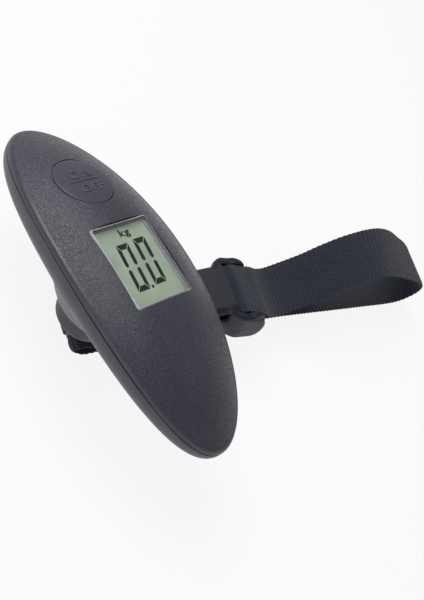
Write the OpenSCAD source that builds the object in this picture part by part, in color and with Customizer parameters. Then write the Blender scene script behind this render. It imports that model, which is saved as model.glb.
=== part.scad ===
// Digital luggage scale: an arched hand grip with a display, a swivelling stem
// under it, and a webbing loop that closes with a side-squeeze buckle.
// The origin is the load point: the middle of the cross pin under the stem.
// X runs along the grip, Y away from the user, Z up out of the display.

/* [Grip] */
// Length of the grip along the joint line
body_l = 126.5; // [114:0.5:140]
// Width of the grip at the joint line
body_w = 49.5; // [46:0.5:55]
// Roundness of the outline seen from above
plan_pow = 2; // [1.8:0.02:2.3]
// Drop of the two tips below the middle
arch_drop = 10; // [8:0.1:12]
// Roundness of the arch along the length
arch_pow = 2; // [1.9:0.1:2.4]
// Height of the cover's side wall
crease_h = 2.2; // [2:0.1:3]
// Lean of the cover's side wall
crease_in = 1.6; // [0.8:0.1:1.8]
// Rise of the cover above its side wall
dome_h = 5.9; // [5.5:0.1:6.6]
// Roundness of the cover across
dome_pow = 2.7; // [2.5:0.1:3]
// Depth of the lower shell
hull_d = 15.3; // [14.8:0.1:18]
// Roundness of the lower shell
hull_pow = 2.6; // [2.3:0.1:3]
// Wall of both shells
wall = 1.8; // [1.4:0.1:2.2]
// Depth of the shadow groove on the joint line
groove = 0.35; // [0.2:0.05:0.6]
// Air between the two shells
joint_gap = 0.1; // [0.06:0.02:0.2]
// Distance from the load axis to the middle of the grip
body_x = 2.25; // [1:0.25:3.5]

/* [Display] */
// Middle of the window along the grip
win_x = -0.6; // [-2:0.1:1]
// Length of the window
win_l = 30; // [27:0.5:31]
// Width of the window
win_w = 24.8; // [22:0.2:26]
// Width of the rim round the window, inside the cover
win_rim = 1.3; // [1:0.1:1.6]
// Corner radius of the window
win_r = 1.2; // [0.6:0.1:2]
// Height of the lens face above the joint line
lens_top = 6.2; // [6:0.1:6.5]
// Thickness of the lens
lens_t = 2.7; // [2.2:0.1:3]
// Bevel round the lens face
lens_bevel = 0.9; // [0.4:0.1:1.2]
// Width of the ledge that carries the lens
ledge = 1.3; // [0.8:0.1:1.8]
// Thickness of the ledge
ledge_t = 1; // [0.8:0.1:1.4]
// Thickness of the display panel
lcd_t = 2; // [1.6:0.1:2.4]
// Height of the rubber contact strips
strip_h = 2.8; // [2.2:0.1:3.2]
// Width of one contact strip
strip_w = 1.8; // [1.4:0.1:2.2]
// Wall of the display's frame
frame_w = 1.2; // [0.8:0.1:1.4]

/* [Circuit board] */
// Air between the board and the heads below it
head_gap = 0.3; // [0.2:0.05:0.5]
// Thickness of the board
board_t = 1.2; // [0.8:0.1:1.6]
// Half width of the board beside the display
board_hw = 14; // [13.4:0.1:14.6]
// Half width of the board under the button
board_nw = 9; // [8:0.5:10]
// Reach of the board past the middle of the button
board_reach = 8.5; // [7:0.5:10]
// Reach of the board past its screws at the battery end
board_edge = 2.9; // [2.4:0.1:3.4]
// Distance of the board screws from the window's ends
board_sx = 3.4; // [3.2:0.1:3.8]
// Distance of the board screws from the middle line
board_sy = 11.4; // [10.5:0.1:11.8]
// Radius of the board screws' thread
bscrew_r = 0.9; // [0.7:0.1:1]
// Length of the board screws' thread
bscrew_l = 5; // [4:0.5:5.5]
// Diameter of the sealed chip
chip_d = 8; // [6:0.5:10]
// Height of the sealed chip
chip_h = 1.2; // [0.8:0.1:1.6]

/* [Button] */
// Distance from the end of the grip to the middle of the button
but_in = 29.5; // [28.5:0.5:31]
// Radius of the button
but_r = 10; // [9:0.1:10.6]
// Air round the button
but_gap = 0.35; // [0.25:0.05:0.5]
// Wall of the button's skirt
but_wall = 1.2; // [1:0.1:1.6]
// Thickness of the button's face
but_t = 1.8; // [1.4:0.1:2.2]
// Height of the button's face above the cover
but_proud = 0.4; // [0.2:0.1:0.6]
// Radius of the button's crowned face
but_crown = 70; // [50:5:100]
// Reach of the two keeper tabs
but_tab = 1.3; // [1:0.1:1.6]
// Width of one keeper tab
tab_w = 5; // [4:0.5:6]
// Thickness of a keeper tab
tab_t = 1; // [0.8:0.1:1.2]
// Air between a keeper tab and the cover
tab_gap = 0.35; // [0.3:0.05:0.4]
// Travel of the button
but_travel = 0.6; // [0.4:0.1:0.8]
// Side of the push switch
switch_w = 6; // [5:0.5:6.5]
// Height of the push switch
switch_h = 3; // [2.6:0.1:3.2]
// Radius of the switch plunger
plunger_r = 1.7; // [1.4:0.1:2]

/* [Battery] */
// Distance from the end of the grip to the middle of the coin cell
bat_in = 27.5; // [27:0.5:28.5]
// Radius of the coin cell
cell_r = 10; // [8:0.5:10]
// Thickness of the coin cell
cell_t = 3.2; // [2.5:0.1:3.2]
// Radius of the battery door
door_r = 12.4; // [12:0.1:13]
// Thickness of the battery door at its middle
door_t = 3.1; // [2.8:0.1:3.4]
// Running gap round the battery door
door_gap = 0.2; // [0.15:0.05:0.3]
// Radial reach of the door's two bayonet lugs
lug_r = 1; // [0.8:0.1:1.2]
// Thickness of the bayonet lugs
lug_t = 0.8; // [0.6:0.1:1]
// Angle covered by one lug
lug_a = 24; // [18:1:30]
// Turn from closed to open
door_turn = 40; // [30:1:50]
// Length of the coin slot
coin_l = 14; // [10:0.5:18]
// Width of the coin slot
coin_w = 2; // [1.6:0.1:2.6]
// Depth of the coin slot
coin_d = 1.1; // [0.8:0.1:1.3]
// Wall of the cell's holder
holder_w = 1.4; // [1:0.1:1.8]
// Width of the holder's two feet
holder_foot = 9; // [6:0.5:10]
// Thickness of the battery contacts
contact_t = 0.3; // [0.2:0.05:0.4]

/* [Load cell] */
// Length of the beam
beam_l = 50; // [46:1:52]
// Width of the beam
beam_w = 12; // [10:0.5:13]
// Thickness of the beam
beam_t = 6; // [5:0.5:6]
// Distance from the load axis to the beam's free end
beam_tip = 5; // [4.5:0.5:6]
// Radius of the beam's twin holes
beam_hole_r = 2.2; // [1.6:0.1:2.3]
// Spacing of the twin holes
beam_hole_s = 9; // [7:0.5:11]
// Distance between the two mounting screws
beam_screw_s = 8; // [7:0.5:10]
// Distance of the outer screw from the beam's end
beam_screw_e = 5; // [4:0.5:6]
// Radius of the mounting screws
beam_screw_r = 1.5; // [1.25:0.05:1.8]
// Height of the heads on the beam
bolt_head_h = 1.6; // [1.4:0.1:2]
// Radius of the load bolt
bolt_r = 2.5; // [2:0.1:3]
// Running gap round the load bolt
bolt_gap = 0.08; // [0.05:0.01:0.1]
// Length of the load bolt's thread below the beam
thread_l = 9; // [8:0.5:10]
// Thickness of the thrust washer
washer_t = 0.6; // [0.4:0.1:0.8]

/* [Screws] */
// Distance from the end of the grip to the tip screws
tip_in = 9.5; // [8.5:0.5:9.5]
// Air between the beam's end and the tip screw's pillar
tip_gap = 0.6; // [0.4:0.1:2]
// Air between the board and the side screws' pillars
side_gap = 0.9; // [0.4:0.1:1.4]
// Distance of the side screws from the middle line
side_y = 15; // [14.5:0.1:15.2]
// Radius of the cover screws' thread
cscrew_r = 1.3; // [1:0.1:1.4]
// Radius of the cover screws' head
chead_r = 2.1; // [1.9:0.1:2.3]
// Height of the cover screws' head
chead_h = 1.4; // [1:0.1:1.6]
// Wall of the screw pillars
pillar_w = 1.2; // [1:0.1:1.4]

/* [Stem] */
// Height of the pod below the lower shell
pod_h = 7; // [6:0.5:8]
// Radius of the pod at its mouth
pod_r = 12.6; // [12.4:0.1:14]
// Radius of the pod where it leaves the shell
pod_top_r = 24; // [22.5:0.5:24]
// Swell of the pod between its mouth and the shell
pod_pow = 0.6; // [0.5:0.05:1]
// Length of the stem below the pod
stem_show = 10.9; // [9.5:0.1:12]
// Radius of the stem
stem_r = 10.6; // [10:0.05:10.7]
// Air between stem and pod
stem_gap = 0.5; // [0.4:0.05:0.6]
// Rounding of the stem's lower edge
stem_fillet = 2; // [1.8:0.1:2.6]
// Radius of the stem's neck inside the pod
neck_r = 5; // [4.5:0.1:5.4]
// Distance from the stem's foot to the cross pin
pin_drop = 6.8; // [6.4:0.1:8]
// Radius of the cross pin
pin_r = 2; // [1.6:0.1:2.2]
// Length of the cross pin
pin_l = 16; // [14:0.5:18]
// Running gap of the buckle's eye on the pin
pin_gap = 0.08; // [0.05:0.01:0.1]
// Thickness of each ear that holds the pin
ear_t = 1.8; // [1.5:0.1:2]
// Radius of the ears' ends
ear_r = 3.3; // [3.2:0.1:3.5]

/* [Buckle] */
// Turn of the strap about the stem, from straight back
strap_yaw = 15; // [0:1:30]
// Rise of the buckle from the pin
buckle_tilt = 18.5; // [14:0.5:22]
// Thickness of the tongue's eye
eye_t = 3.4; // [3:0.1:3.6]
// Radius of the tongue's eye
eye_r = 4; // [3.8:0.1:4.4]
// Distance from the pin to the tongue's shoulder
shoulder_y = 32; // [30:0.5:34]
// Half width of the tongue's shoulder
tongue_hw = 8.5; // [8:0.1:9]
// Thickness of the tongue
tongue_t = 4.6; // [4:0.1:5]
// Length of the latch arms
arm_l = 24.3; // [23:0.1:25]
// Thickness of the latch arms
arm_t = 1.9; // [1.5:0.1:2.2]
// Running gap between tongue and socket
latch_gap = 0.35; // [0.3:0.05:0.5]
// Radius of the latch arms' round roots
root_r = 1.1; // [1:0.05:1.2]
// Running gap round the roots
root_gap = 0.06; // [0.04:0.01:0.1]
// Length of the latch barbs
barb_l = 4.5; // [4:0.1:5]
// Half width of the socket's sleeve
sleeve_hw = 10; // [9.8:0.1:11]
// Thickness of the sleeve
sleeve_t = 10; // [9:0.2:11]
// Distance from the pin to the strap slot's edge
slot_y = 60.5; // [59.5:0.5:62]
// Rounding of the sleeve's long edges
sleeve_edge = 3; // [1.5:0.1:3.4]
// Radius of the two round cheeks
cheek_r = 7.6; // [7:0.1:8]
// Thickness of each cheek
cheek_t = 2.8; // [2.4:0.1:3.4]
// Dip of the cheeks below the sleeve's face
cheek_dip = 4.4; // [3.4:0.1:4.6]
// Radius of the strap bar
bar_r = 1.6; // [1.4:0.1:1.8]
// Travel of the socket when it is pulled off
release = 24; // [22:0.5:24.5]

/* [Strap] */
// Width of the webbing
web_w = 20; // [18:0.5:20]
// Thickness of the webbing
web_t = 1.3; // [1:0.1:1.4]
// Air between webbing and what it passes
web_gap = 0.4; // [0.3:0.05:0.5]
// Air between the two sewn layers and round pin and bar
lay_gap = 0.2; // [0.1:0.05:0.3]

/* [Hidden] */
$fn = 64;
ring_n = 64;
eps = 0.01;
part_z = hull_d + pod_h + stem_show + pin_drop;
load_x = -body_x;

// Heights inside the grip, from the joint line
lens_bot = lens_top - lens_t;
pad_bot = lens_bot - ledge_t;
lcd_bot = pad_bot - lcd_t;
board_top = lcd_bot - strip_h;
board_bot = board_top - board_t;
beam_top = board_bot - head_gap - bolt_head_h - washer_t;
beam_bot = beam_top - beam_t;
stem_foot = -hull_d - pod_h - stem_show;
pod_mouth = -hull_d - pod_h;
stem_cap = -hull_d - pod_h / 4;

// Outline of the shells
function se(a, b, t) = [
  a * sign(cos(t)) * pow(abs(cos(t)), 2 / plan_pow),
  b * sign(sin(t)) * pow(abs(sin(t)), 2 / plan_pow)
];
function arch(x) = -arch_drop * pow(abs(2 * x / body_l), arch_pow);
function lift(p, h) = [p[0], p[1], arch(p[0]) + h];
function ring(a, b, h) = [for (i = [0 : ring_n - 1]) lift(se(a, b, 360 * i / ring_n), h)];
function spread(x, y, a, b) = pow(pow(abs(x / a), plan_pow) + pow(abs(y / b), plan_pow), 1 / plan_pow);

half_l = body_l / 2;
half_w = body_w / 2;

// Places along the grip
but_x = but_in - half_l;
bat_x = half_l - bat_in;
tip_x = half_l - tip_in;
beam_end = load_x + beam_tip - beam_l;
tip_back = max(tip_x, -beam_end + tip_gap + chead_r + 1);
board_x0 = but_x - board_reach;
board_x1 = win_x + win_l / 2 + board_sx + board_edge;
side_x = board_x1 + side_gap + chead_r + 1;

function dome_ring(s, i, drop) =
  ring((half_l - i) * s, (half_w - i) * s, crease_h + dome_h * (1 - pow(s, dome_pow)) - drop);
function hull_ring(f, i) =
  ring((half_l - i) * pow(cos(f), 2 / hull_pow), (half_w - i) * pow(cos(f), 2 / hull_pow),
    -joint_gap / 2 - (hull_d - i) * pow(sin(f), 2 / hull_pow));

// Heights of the finished surfaces at a place on the grip
function cover_z(x, y) =
  arch(x) + crease_h + dome_h * (1 - pow(spread(x, y, half_l - crease_in, half_w - crease_in), dome_pow));
function roof_z(x, y) =
  let (s = spread(x, y, half_l - crease_in - wall, half_w - crease_in - wall))
  arch(x) + crease_h + dome_h * (1 - pow(s, dome_pow)) - wall;
function hull_z(x, y, i) =
  let (s = min(1, spread(x, y, half_l - i, half_w - i)))
  arch(x) - (hull_d - i) * pow(1 - pow(s, hull_pow), 1 / hull_pow);

dome_steps = [0.95, 0.84, 0.7, 0.54, 0.36, 0.16];
hull_steps = [84, 74, 62, 50, 38, 26, 15, 6];

// Closed skin through a stack of rings, from the lowest to the highest
module loft(rings, low, high) {
  n = len(rings[0]);
  m = len(rings);
  top = 1 + n * m;
  points = concat([low], [for (r = rings) each r], [high]);
  sides = [
    for (k = [0 : m - 2])
      for (i = [0 : n - 1])
        let (a = 1 + k * n + i, b = 1 + k * n + (i + 1) % n)
          each [[a, a + n, b + n], [a, b + n, b]]
  ];
  ends = [
    for (i = [0 : n - 1])
      let (j = (i + 1) % n)
        each [[0, 1 + i, 1 + j], [top, top - n + j, top - n + i]]
  ];
  polyhedron(points = points, faces = concat(sides, ends), convexity = 6);
}

module in_body() {
  translate([body_x, 0, part_z]) children();
}

module in_strap() {
  rotate([0, 0, -strap_yaw]) children();
}

module in_buckle() {
  in_strap() rotate([buckle_tilt, 0, 0]) children();
}

// Extrudes an outline drawn in Y and Z along X, centred
module across(t) {
  translate([-t / 2, 0, 0]) rotate([90, 0, 90]) linear_extrude(t) children();
}

module rounded(l, w, r) {
  square([l - 2 * r, w], center = true);
  square([l, w - 2 * r], center = true);
  for (x = [-1, 1], y = [-1, 1])
    translate([x * (l / 2 - r), y * (w / 2 - r)]) circle(r);
}

module rod(r, z0, z1) {
  translate([0, 0, z0]) cylinder(r = r, h = z1 - z0);
}

// Screw places
cover_screw_at = [[-tip_back, 0], [tip_x, 0], [side_x, side_y], [side_x, -side_y]];
board_screw_x = [win_x - win_l / 2 - board_sx - 1.2, win_x + win_l / 2 + board_sx];
board_screw_at = [for (x = board_screw_x, y = [-1, 1]) [x, y * board_sy]];
pillar_r = cscrew_r + pillar_w;
function seat_z(p) = hull_z(p[0], p[1], 0) + wall + 1.6;
function parting(p) = arch(p[0]);

// Top cover

module cover_skin() {
  half_gap = joint_gap / 2;
  rings = concat(
    [
      ring(half_l - groove, half_w - groove, half_gap),
      ring(half_l, half_w, half_gap + groove * 1.4),
      ring(half_l - crease_in * 0.15, half_w - crease_in * 0.15, crease_h * 0.55),
      ring(half_l - crease_in * 0.5, half_w - crease_in * 0.5, crease_h * 0.85),
      ring(half_l - crease_in, half_w - crease_in, crease_h)
    ],
    [for (s = dome_steps) dome_ring(s, crease_in, 0)]
  );
  loft(rings, [0, 0, half_gap], [0, 0, crease_h + dome_h]);
}

module cover_cavity() {
  i = wall;
  rings = concat(
    [
      ring(half_l - i, half_w - i, -2),
      ring(half_l - i, half_w - i, crease_h * 0.2),
      ring(half_l - i - crease_in * 0.6, half_w - i - crease_in * 0.6, crease_h - wall * 0.75)
    ],
    [for (s = dome_steps) dome_ring(s, i + crease_in, wall)]
  );
  loft(rings, [0, 0, -2], [0, 0, crease_h + dome_h - wall]);
}

module top_cover() {
  pad_l = win_l + 2 * win_rim;
  pad_w = win_w + 2 * win_rim;
  pad_top = cover_z(pad_l / 2 + abs(win_x), pad_w / 2) - 0.15;
  color("#2b2c31")
  in_body()
  difference() {
    union() {
      difference() {
        cover_skin();
        cover_cavity();
      }
      translate([win_x, 0, pad_bot])
        linear_extrude(pad_top - pad_bot) rounded(pad_l, pad_w, win_r + 1);
      for (p = board_screw_at)
        translate(p) rod(bscrew_r + pillar_w, board_top, cover_z(p[0], p[1]) - wall * 0.6);
      for (p = cover_screw_at)
        translate(p) rod(pillar_r, parting(p) + joint_gap / 2, cover_z(p[0], p[1]) - wall * 0.7);
    }
    translate([win_x, 0, lens_bot]) linear_extrude(20) rounded(win_l, win_w, win_r);
    translate([win_x, 0, pad_bot - 1])
      linear_extrude(20) rounded(win_l - 2 * ledge, win_w - 2 * ledge, win_r);
    translate([but_x, 0, -20]) cylinder(r = but_r + but_gap, h = 40);
    for (p = board_screw_at)
      translate(p) rod(bscrew_r, board_top - 1, board_top + bscrew_l - board_t + 0.4);
    for (p = cover_screw_at)
      translate(p) rod(cscrew_r, parting(p) - 1, cover_z(p[0], p[1]) - wall - 0.2);
  }
}

// Lower shell

module hull_skin() {
  half_gap = joint_gap / 2;
  rings = concat(
    [for (f = hull_steps) hull_ring(f, 0)],
    [
      ring(half_l, half_w, -half_gap - groove * 1.4),
      ring(half_l - groove, half_w - groove, -half_gap)
    ]
  );
  loft(rings, [0, 0, -half_gap - hull_d], [0, 0, -half_gap]);
}

module hull_cavity() {
  i = wall;
  rings = concat(
    [for (f = hull_steps) hull_ring(f, i)],
    [ring(half_l - i, half_w - i, 2)]
  );
  loft(rings, [0, 0, -joint_gap / 2 - hull_d + i], [0, 0, 2]);
}

pod_rise = 0.84 * hull_d - 5;
function pod_at(u) = pod_r + (pod_top_r - pod_r) * pow(u, pod_pow);
pod_len = pod_h + pod_rise + 2.7;

// Flared pod under the middle of the shell
module pod() {
  translate([load_x, 0, pod_mouth]) rotate_extrude()
    polygon(concat([[0, 0]], [for (k = [0 : 8]) [pod_at(k / 8), pod_len * k / 8]], [[0, pod_len]]));
}

// Hollow left in the pod so that its wall stays even
module pod_core() {
  tube_r = stem_r + stem_gap + wall;
  translate([load_x, 0, pod_mouth]) rotate_extrude()
    polygon(concat(
      [[tube_r, pod_len * 0.28], [tube_r, pod_len + 4]],
      [for (k = [8 : -1 : 3]) [max(pod_at(k / 8) - wall * 1.3, tube_r), pod_len * k / 8 + (k == 8 ? 4 : 0)]]
    ));
}

// Places of the load beam's screws and the boss under its fixed end
beam_screw_at = [beam_end + beam_screw_e, beam_end + beam_screw_e + beam_screw_s];
boss_x0 = beam_end + 0.5;
boss_x1 = beam_screw_at[1] + 5;

// Levels of the battery door
door_top = hull_z(bat_x, 0, 0) + door_t;
cell_bot = door_top + contact_t;
collar_r = door_r + door_gap + lug_r + 1;
collar_top = door_top + 1.2;
lug_gap = 0.15;

module arc_sector(r, a0, a1) {
  steps = 6;
  rim = [for (k = [0 : steps]) let (a = a0 + (a1 - a0) * k / steps) r * 1.4 * [cos(a), sin(a)]];
  polygon(concat([[0, 0]], rim));
}

// Ring sector between two radii, from angle a0 to a1
module ring_sector(r0, r1, a0, a1) {
  intersection() {
    difference() {
      circle(r1);
      circle(r0);
    }
    arc_sector(r1, a0, a1);
  }
}

module bottom_cover() {
  color("#323338")
  in_body()
  difference() {
    union() {
      difference() {
        union() {
          hull_skin();
          pod();
        }
        hull_cavity();
        pod_core();
      }
      intersection() {
        hull_skin();
        union() {
          translate([boss_x0, -beam_w / 2, -hull_d - arch_drop])
            cube([boss_x1 - boss_x0, beam_w, hull_d + arch_drop + beam_bot]);
          translate([bat_x, 0, 0]) rod(collar_r, -hull_d - arch_drop, collar_top);
          for (p = cover_screw_at)
            translate(p) rod(max(pillar_r, chead_r + 1), -hull_d - arch_drop, parting(p) - joint_gap / 2);
        }
      }
    }
    translate([load_x, 0, 0]) rod(stem_r + stem_gap, pod_mouth - 1, stem_cap + stem_gap);
    translate([load_x, 0, 0]) rod(neck_r + stem_gap, pod_mouth - 1, 0);
    for (x = beam_screw_at)
      translate([x, 0, 0]) rod(beam_screw_r, beam_bot - 3.4, beam_bot + 1);
    translate([bat_x, 0, 0]) {
      rod(door_r + door_gap, -hull_d - arch_drop, 0);
      for (s = [0, 180])
        translate([0, 0, door_top - lug_t - lug_gap])
          linear_extrude(lug_t + 2 * lug_gap)
            ring_sector(door_r - 1, door_r + door_gap + lug_r + lug_gap,
              s - lug_a / 2 - 4, s + lug_a / 2 + door_turn + 4);
    }
    for (p = cover_screw_at) {
      translate(p) rod(cscrew_r + 0.15, -hull_d - arch_drop, 0);
      translate(p) rod(chead_r + 0.15, -hull_d - arch_drop - 2, seat_z(p));
    }
  }
}

// Display

module display_lens() {
  fit = 0.1;
  l = win_l - 2 * fit;
  w = win_w - 2 * fit;
  color("#dfe8ea", 0.5)
  in_body()
  translate([win_x, 0, 0]) {
    difference() {
      translate([0, 0, lens_bot]) linear_extrude(lens_t) rounded(l, w, win_r - fit);
      for (s = [-1, 1]) {
        translate([0, s * w / 2, lens_top]) rotate([45, 0, 0])
          cube([l + 2, lens_bevel, lens_bevel], center = true);
        translate([s * l / 2, 0, lens_top]) rotate([0, 45, 0])
          cube([lens_bevel, w + 2, lens_bevel], center = true);
      }
    }
  }
}

lcd_l = win_l - 0.8;
lcd_w = win_w - 0.8;

module lcd_panel() {
  color("#9cb08e")
  in_body()
  translate([win_x - lcd_l / 2, -lcd_w / 2, lcd_bot]) cube([lcd_l, lcd_w, lcd_t]);
}

module lcd_frame() {
  fit = 0.15;
  color("#e8e8e4")
  in_body()
  translate([win_x, 0, board_top])
  linear_extrude(pad_bot - board_top - 0.1) {
    difference() {
      square([lcd_l + 2 * (fit + frame_w), lcd_w + 2 * (fit + frame_w)], center = true);
      square([lcd_l + 2 * fit, lcd_w + 2 * fit], center = true);
    }
  }
}

module elastomer_strips() {
  color("#d98a8f")
  in_body()
  for (s = [-1, 1])
    translate([win_x - lcd_l / 2 + 1, s * (lcd_w / 2 - strip_w / 2 - 0.5) - strip_w / 2, board_top])
      cube([lcd_l - 2, strip_w, strip_h]);
}

// Circuit board and what is on it

module circuit_board() {
  waist = win_x - win_l / 2 - board_sx - 5;
  color("#2f6b45")
  in_body()
  difference() {
    translate([0, 0, board_bot]) linear_extrude(board_t) {
      translate([board_x0, -board_nw]) square([waist - board_x0 + 1, 2 * board_nw]);
      translate([waist, -board_hw]) square([board_x1 - waist, 2 * board_hw]);
    }
    for (p = board_screw_at)
      translate(p) rod(bscrew_r + 0.15, board_bot - 1, board_top + 1);
  }
}

module chip_cover() {
  crown = chip_d * 0.75;
  color("#1b1b1d")
  in_body()
  translate([win_x, 0, board_top])
  intersection() {
    translate([0, 0, chip_h - crown]) sphere(crown);
    cylinder(d = chip_d, h = chip_h + 1);
  }
}

module board_screws() {
  color("#b9bcc0")
  in_body()
  for (p = board_screw_at)
    translate(p) {
      rod(bscrew_r - 0.05, board_bot, board_bot + bscrew_l);
      rod(bscrew_r * 1.9, board_bot - 1, board_bot);
    }
}

module tact_switch() {
  color("#3c3d40")
  in_body()
  translate([but_x, 0, board_top])
  difference() {
    translate([-switch_w / 2, -switch_w / 2, 0]) cube([switch_w, switch_w, switch_h]);
    rod(plunger_r + 0.06, switch_h - 0.7 - but_travel, switch_h + 1);
  }
}

plunger_bot = board_top + switch_h - 0.6;
plunger_top = board_top + switch_h + 0.8;

module switch_plunger() {
  color("#d8d4c8")
  in_body()
  translate([but_x, 0, 0]) rod(plunger_r, plunger_bot, plunger_top);
}

// Slope of the cover under the button
but_rise = (cover_z(but_x + 1, 0) - cover_z(but_x - 1, 0)) / 2;
but_lean = atan(but_rise);
but_top = cover_z(but_x, 0) + but_proud;
tab_top = roof_z(but_x, but_r + but_tab) - tab_gap;

// Space under the crowned face, lower than it by t
module under_face(t) {
  translate([0, 0, but_top]) rotate([0, -but_lean, 0])
    translate([0, 0, -but_crown]) sphere(but_crown - t, $fn = 96);
}

module button_cap() {
  skirt_bot = tab_top - tab_t;
  tab_l = but_tab + but_wall / 2;
  color("#26272b")
  in_body()
  translate([but_x, 0, 0]) {
    intersection() {
      under_face(0);
      difference() {
        rod(but_r, skirt_bot, but_top + 6);
        intersection() {
          rod(but_r - but_wall, skirt_bot - 1, but_top + 6);
          under_face(but_t);
        }
        rod(plunger_r + 0.2, skirt_bot - 1, plunger_top);
      }
    }
    intersection() {
      under_face(but_t / 2);
      rod(plunger_r + 0.8, plunger_top, but_top + 6);
    }
    for (s = [-1, 1])
      translate([0, s * (but_r - but_wall / 2) - (s < 0 ? tab_l : 0), skirt_bot])
        cube([tab_w, tab_l, tab_t]);
  }
}

// Battery

module battery_door() {
  color("#323338")
  in_body()
  difference() {
    union() {
      intersection() {
        hull_skin();
        translate([bat_x, 0, 0]) rod(door_r, -hull_d - arch_drop, door_top);
      }
      translate([bat_x, 0, door_top - lug_t])
        linear_extrude(lug_t)
          for (s = [0, 180])
            ring_sector(door_r - 0.6, door_r + door_gap + lug_r - 0.1, s - lug_a / 2, s + lug_a / 2);
    }
    translate([bat_x - coin_l / 2, -coin_w / 2, hull_z(bat_x, 0, 0) - 5])
      cube([coin_l, coin_w, 5 + coin_d]);
  }
}

module coin_cell() {
  color("#c9ccd0")
  in_body()
  translate([bat_x, 0, 0]) {
    rod(cell_r * 0.88, cell_bot, cell_bot + 0.5);
    rod(cell_r, cell_bot + 0.5, cell_bot + cell_t);
  }
}

holder_r = cell_r + contact_t + 0.15;
holder_top = cell_bot + cell_t + contact_t + 1.2;

module battery_holder() {
  color("#1f2023")
  in_body()
  translate([bat_x, 0, 0])
  difference() {
    union() {
      translate([-collar_r, -holder_foot / 2, collar_top]) cube([2 * collar_r, holder_foot, 1]);
      rod(holder_r + holder_w, collar_top, holder_top);
    }
    rod(holder_r, collar_top - 1, holder_top - 1.2);
    rod(cell_r * 0.5, collar_top - 1, holder_top + 1);
  }
}

module battery_contact_plus() {
  color("#d2c9a0")
  in_body()
  translate([bat_x, 0, collar_top + 0.2])
    linear_extrude(cell_bot + cell_t - collar_top - 0.6)
      ring_sector(cell_r + 0.05, cell_r + 0.05 + contact_t, 60, 120);
}

module battery_contact_minus() {
  color("#d2c9a0")
  in_body()
  translate([bat_x, 0, cell_bot + cell_t])
    linear_extrude(contact_t) {
      difference() {
        circle(cell_r * 0.8);
        circle(cell_r * 0.6);
      }
      translate([-cell_r * 0.8 - 1, -1.5]) square([3, 3]);
    }
}

// Load cell

module load_beam() {
  hole_z = (beam_top + beam_bot) / 2;
  mid = beam_end + beam_l / 2;
  color("#c4c7ca")
  in_body()
  difference() {
    translate([beam_end, -beam_w / 2, beam_bot]) cube([beam_l, beam_w, beam_t]);
    for (s = [-1, 1])
      translate([mid + s * beam_hole_s / 2, 0, hole_z]) rotate([90, 0, 0])
        cylinder(r = beam_hole_r, h = beam_w + 2, center = true);
    translate([mid - beam_hole_s / 2, -beam_w / 2 - 1, hole_z - 0.6]) cube([beam_hole_s, beam_w + 2, 1.2]);
    for (x = beam_screw_at)
      translate([x, 0, 0]) rod(beam_screw_r + 0.15, beam_bot - 1, beam_top + 1);
    translate([load_x, 0, 0]) rod(bolt_r + bolt_gap, beam_bot - 1, beam_top + 1);
  }
}

module strain_gauges() {
  mid = beam_end + beam_l / 2;
  color("#b98a3c")
  in_body()
  for (s = [-1, 1])
    translate([mid + s * beam_hole_s / 2 - 2.5, -2.5, beam_top]) cube([5, 5, 0.3]);
}

module beam_screws() {
  color("#8d9196")
  in_body()
  for (x = beam_screw_at)
    translate([x, 0, 0]) {
      rod(beam_screw_r - 0.05, beam_bot - 3.2, beam_top);
      rod(beam_screw_r * 1.8, beam_top, beam_top + bolt_head_h);
    }
}

module cover_screws() {
  color("#8d9196")
  in_body()
  for (p = cover_screw_at)
    translate(p)
    difference() {
      union() {
        rod(chead_r, seat_z(p) - chead_h, seat_z(p));
        rod(cscrew_r - 0.05, seat_z(p), cover_z(p[0], p[1]) - wall - 0.8);
      }
      translate([-0.25, -chead_r, seat_z(p) - chead_h - 1]) cube([0.5, 2 * chead_r, 1.5]);
      translate([-chead_r, -0.25, seat_z(p) - chead_h - 1]) cube([2 * chead_r, 0.5, 1.5]);
    }
}

module thrust_washer() {
  color("#a9adb1")
  in_body()
  translate([load_x, 0, 0])
  difference() {
    rod(bolt_r * 1.9, beam_top, beam_top + washer_t);
    rod(bolt_r + bolt_gap, beam_top - 1, beam_top + washer_t + 1);
  }
}

// Stem and pin

module load_bolt() {
  color("#8d9196")
  in_body()
  translate([load_x, 0, 0]) {
    rod(bolt_r, beam_bot - thread_l, beam_top + washer_t);
    rod(bolt_r * 1.8, beam_top + washer_t, beam_top + washer_t + bolt_head_h);
  }
}

ear_gap = eye_t + 0.5;

module stem() {
  body_h = stem_cap - stem_foot;
  color("#3a3b40") {
    difference() {
      translate([0, 0, part_z + stem_foot]) union() {
        rotate_extrude() {
          square([stem_r - stem_fillet, body_h]);
          translate([0, stem_fillet]) square([stem_r, body_h - stem_fillet]);
          translate([stem_r - stem_fillet, stem_fillet]) circle(stem_fillet);
        }
        rod(neck_r, body_h - eps, beam_bot - 0.3 - stem_foot);
      }
      rod(bolt_r + 0.02, part_z + beam_bot - thread_l - 0.5, part_z);
    }
    in_strap()
    difference() {
      for (s = [-1, 1])
        translate([s * (ear_gap + ear_t) / 2, 0, 0]) across(ear_t) {
          circle(ear_r);
          translate([-ear_r, 0]) square([2 * ear_r, pin_drop + 0.5]);
        }
      rotate([0, 90, 0]) cylinder(r = pin_r + 0.02, h = web_w * 2, center = true);
    }
  }
}

module cross_pin() {
  color("#4a4c51")
  in_strap() rotate([0, 90, 0]) cylinder(r = pin_r, h = pin_l, center = true);
}

// Buckle tongue, latch arms and socket

base_y = 14;
arm_y = shoulder_y + 0.15;
mouth_y = shoulder_y + 1;
arm_pivot = tongue_hw - 2.3;
arm_root_r = root_r + root_gap;
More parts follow.
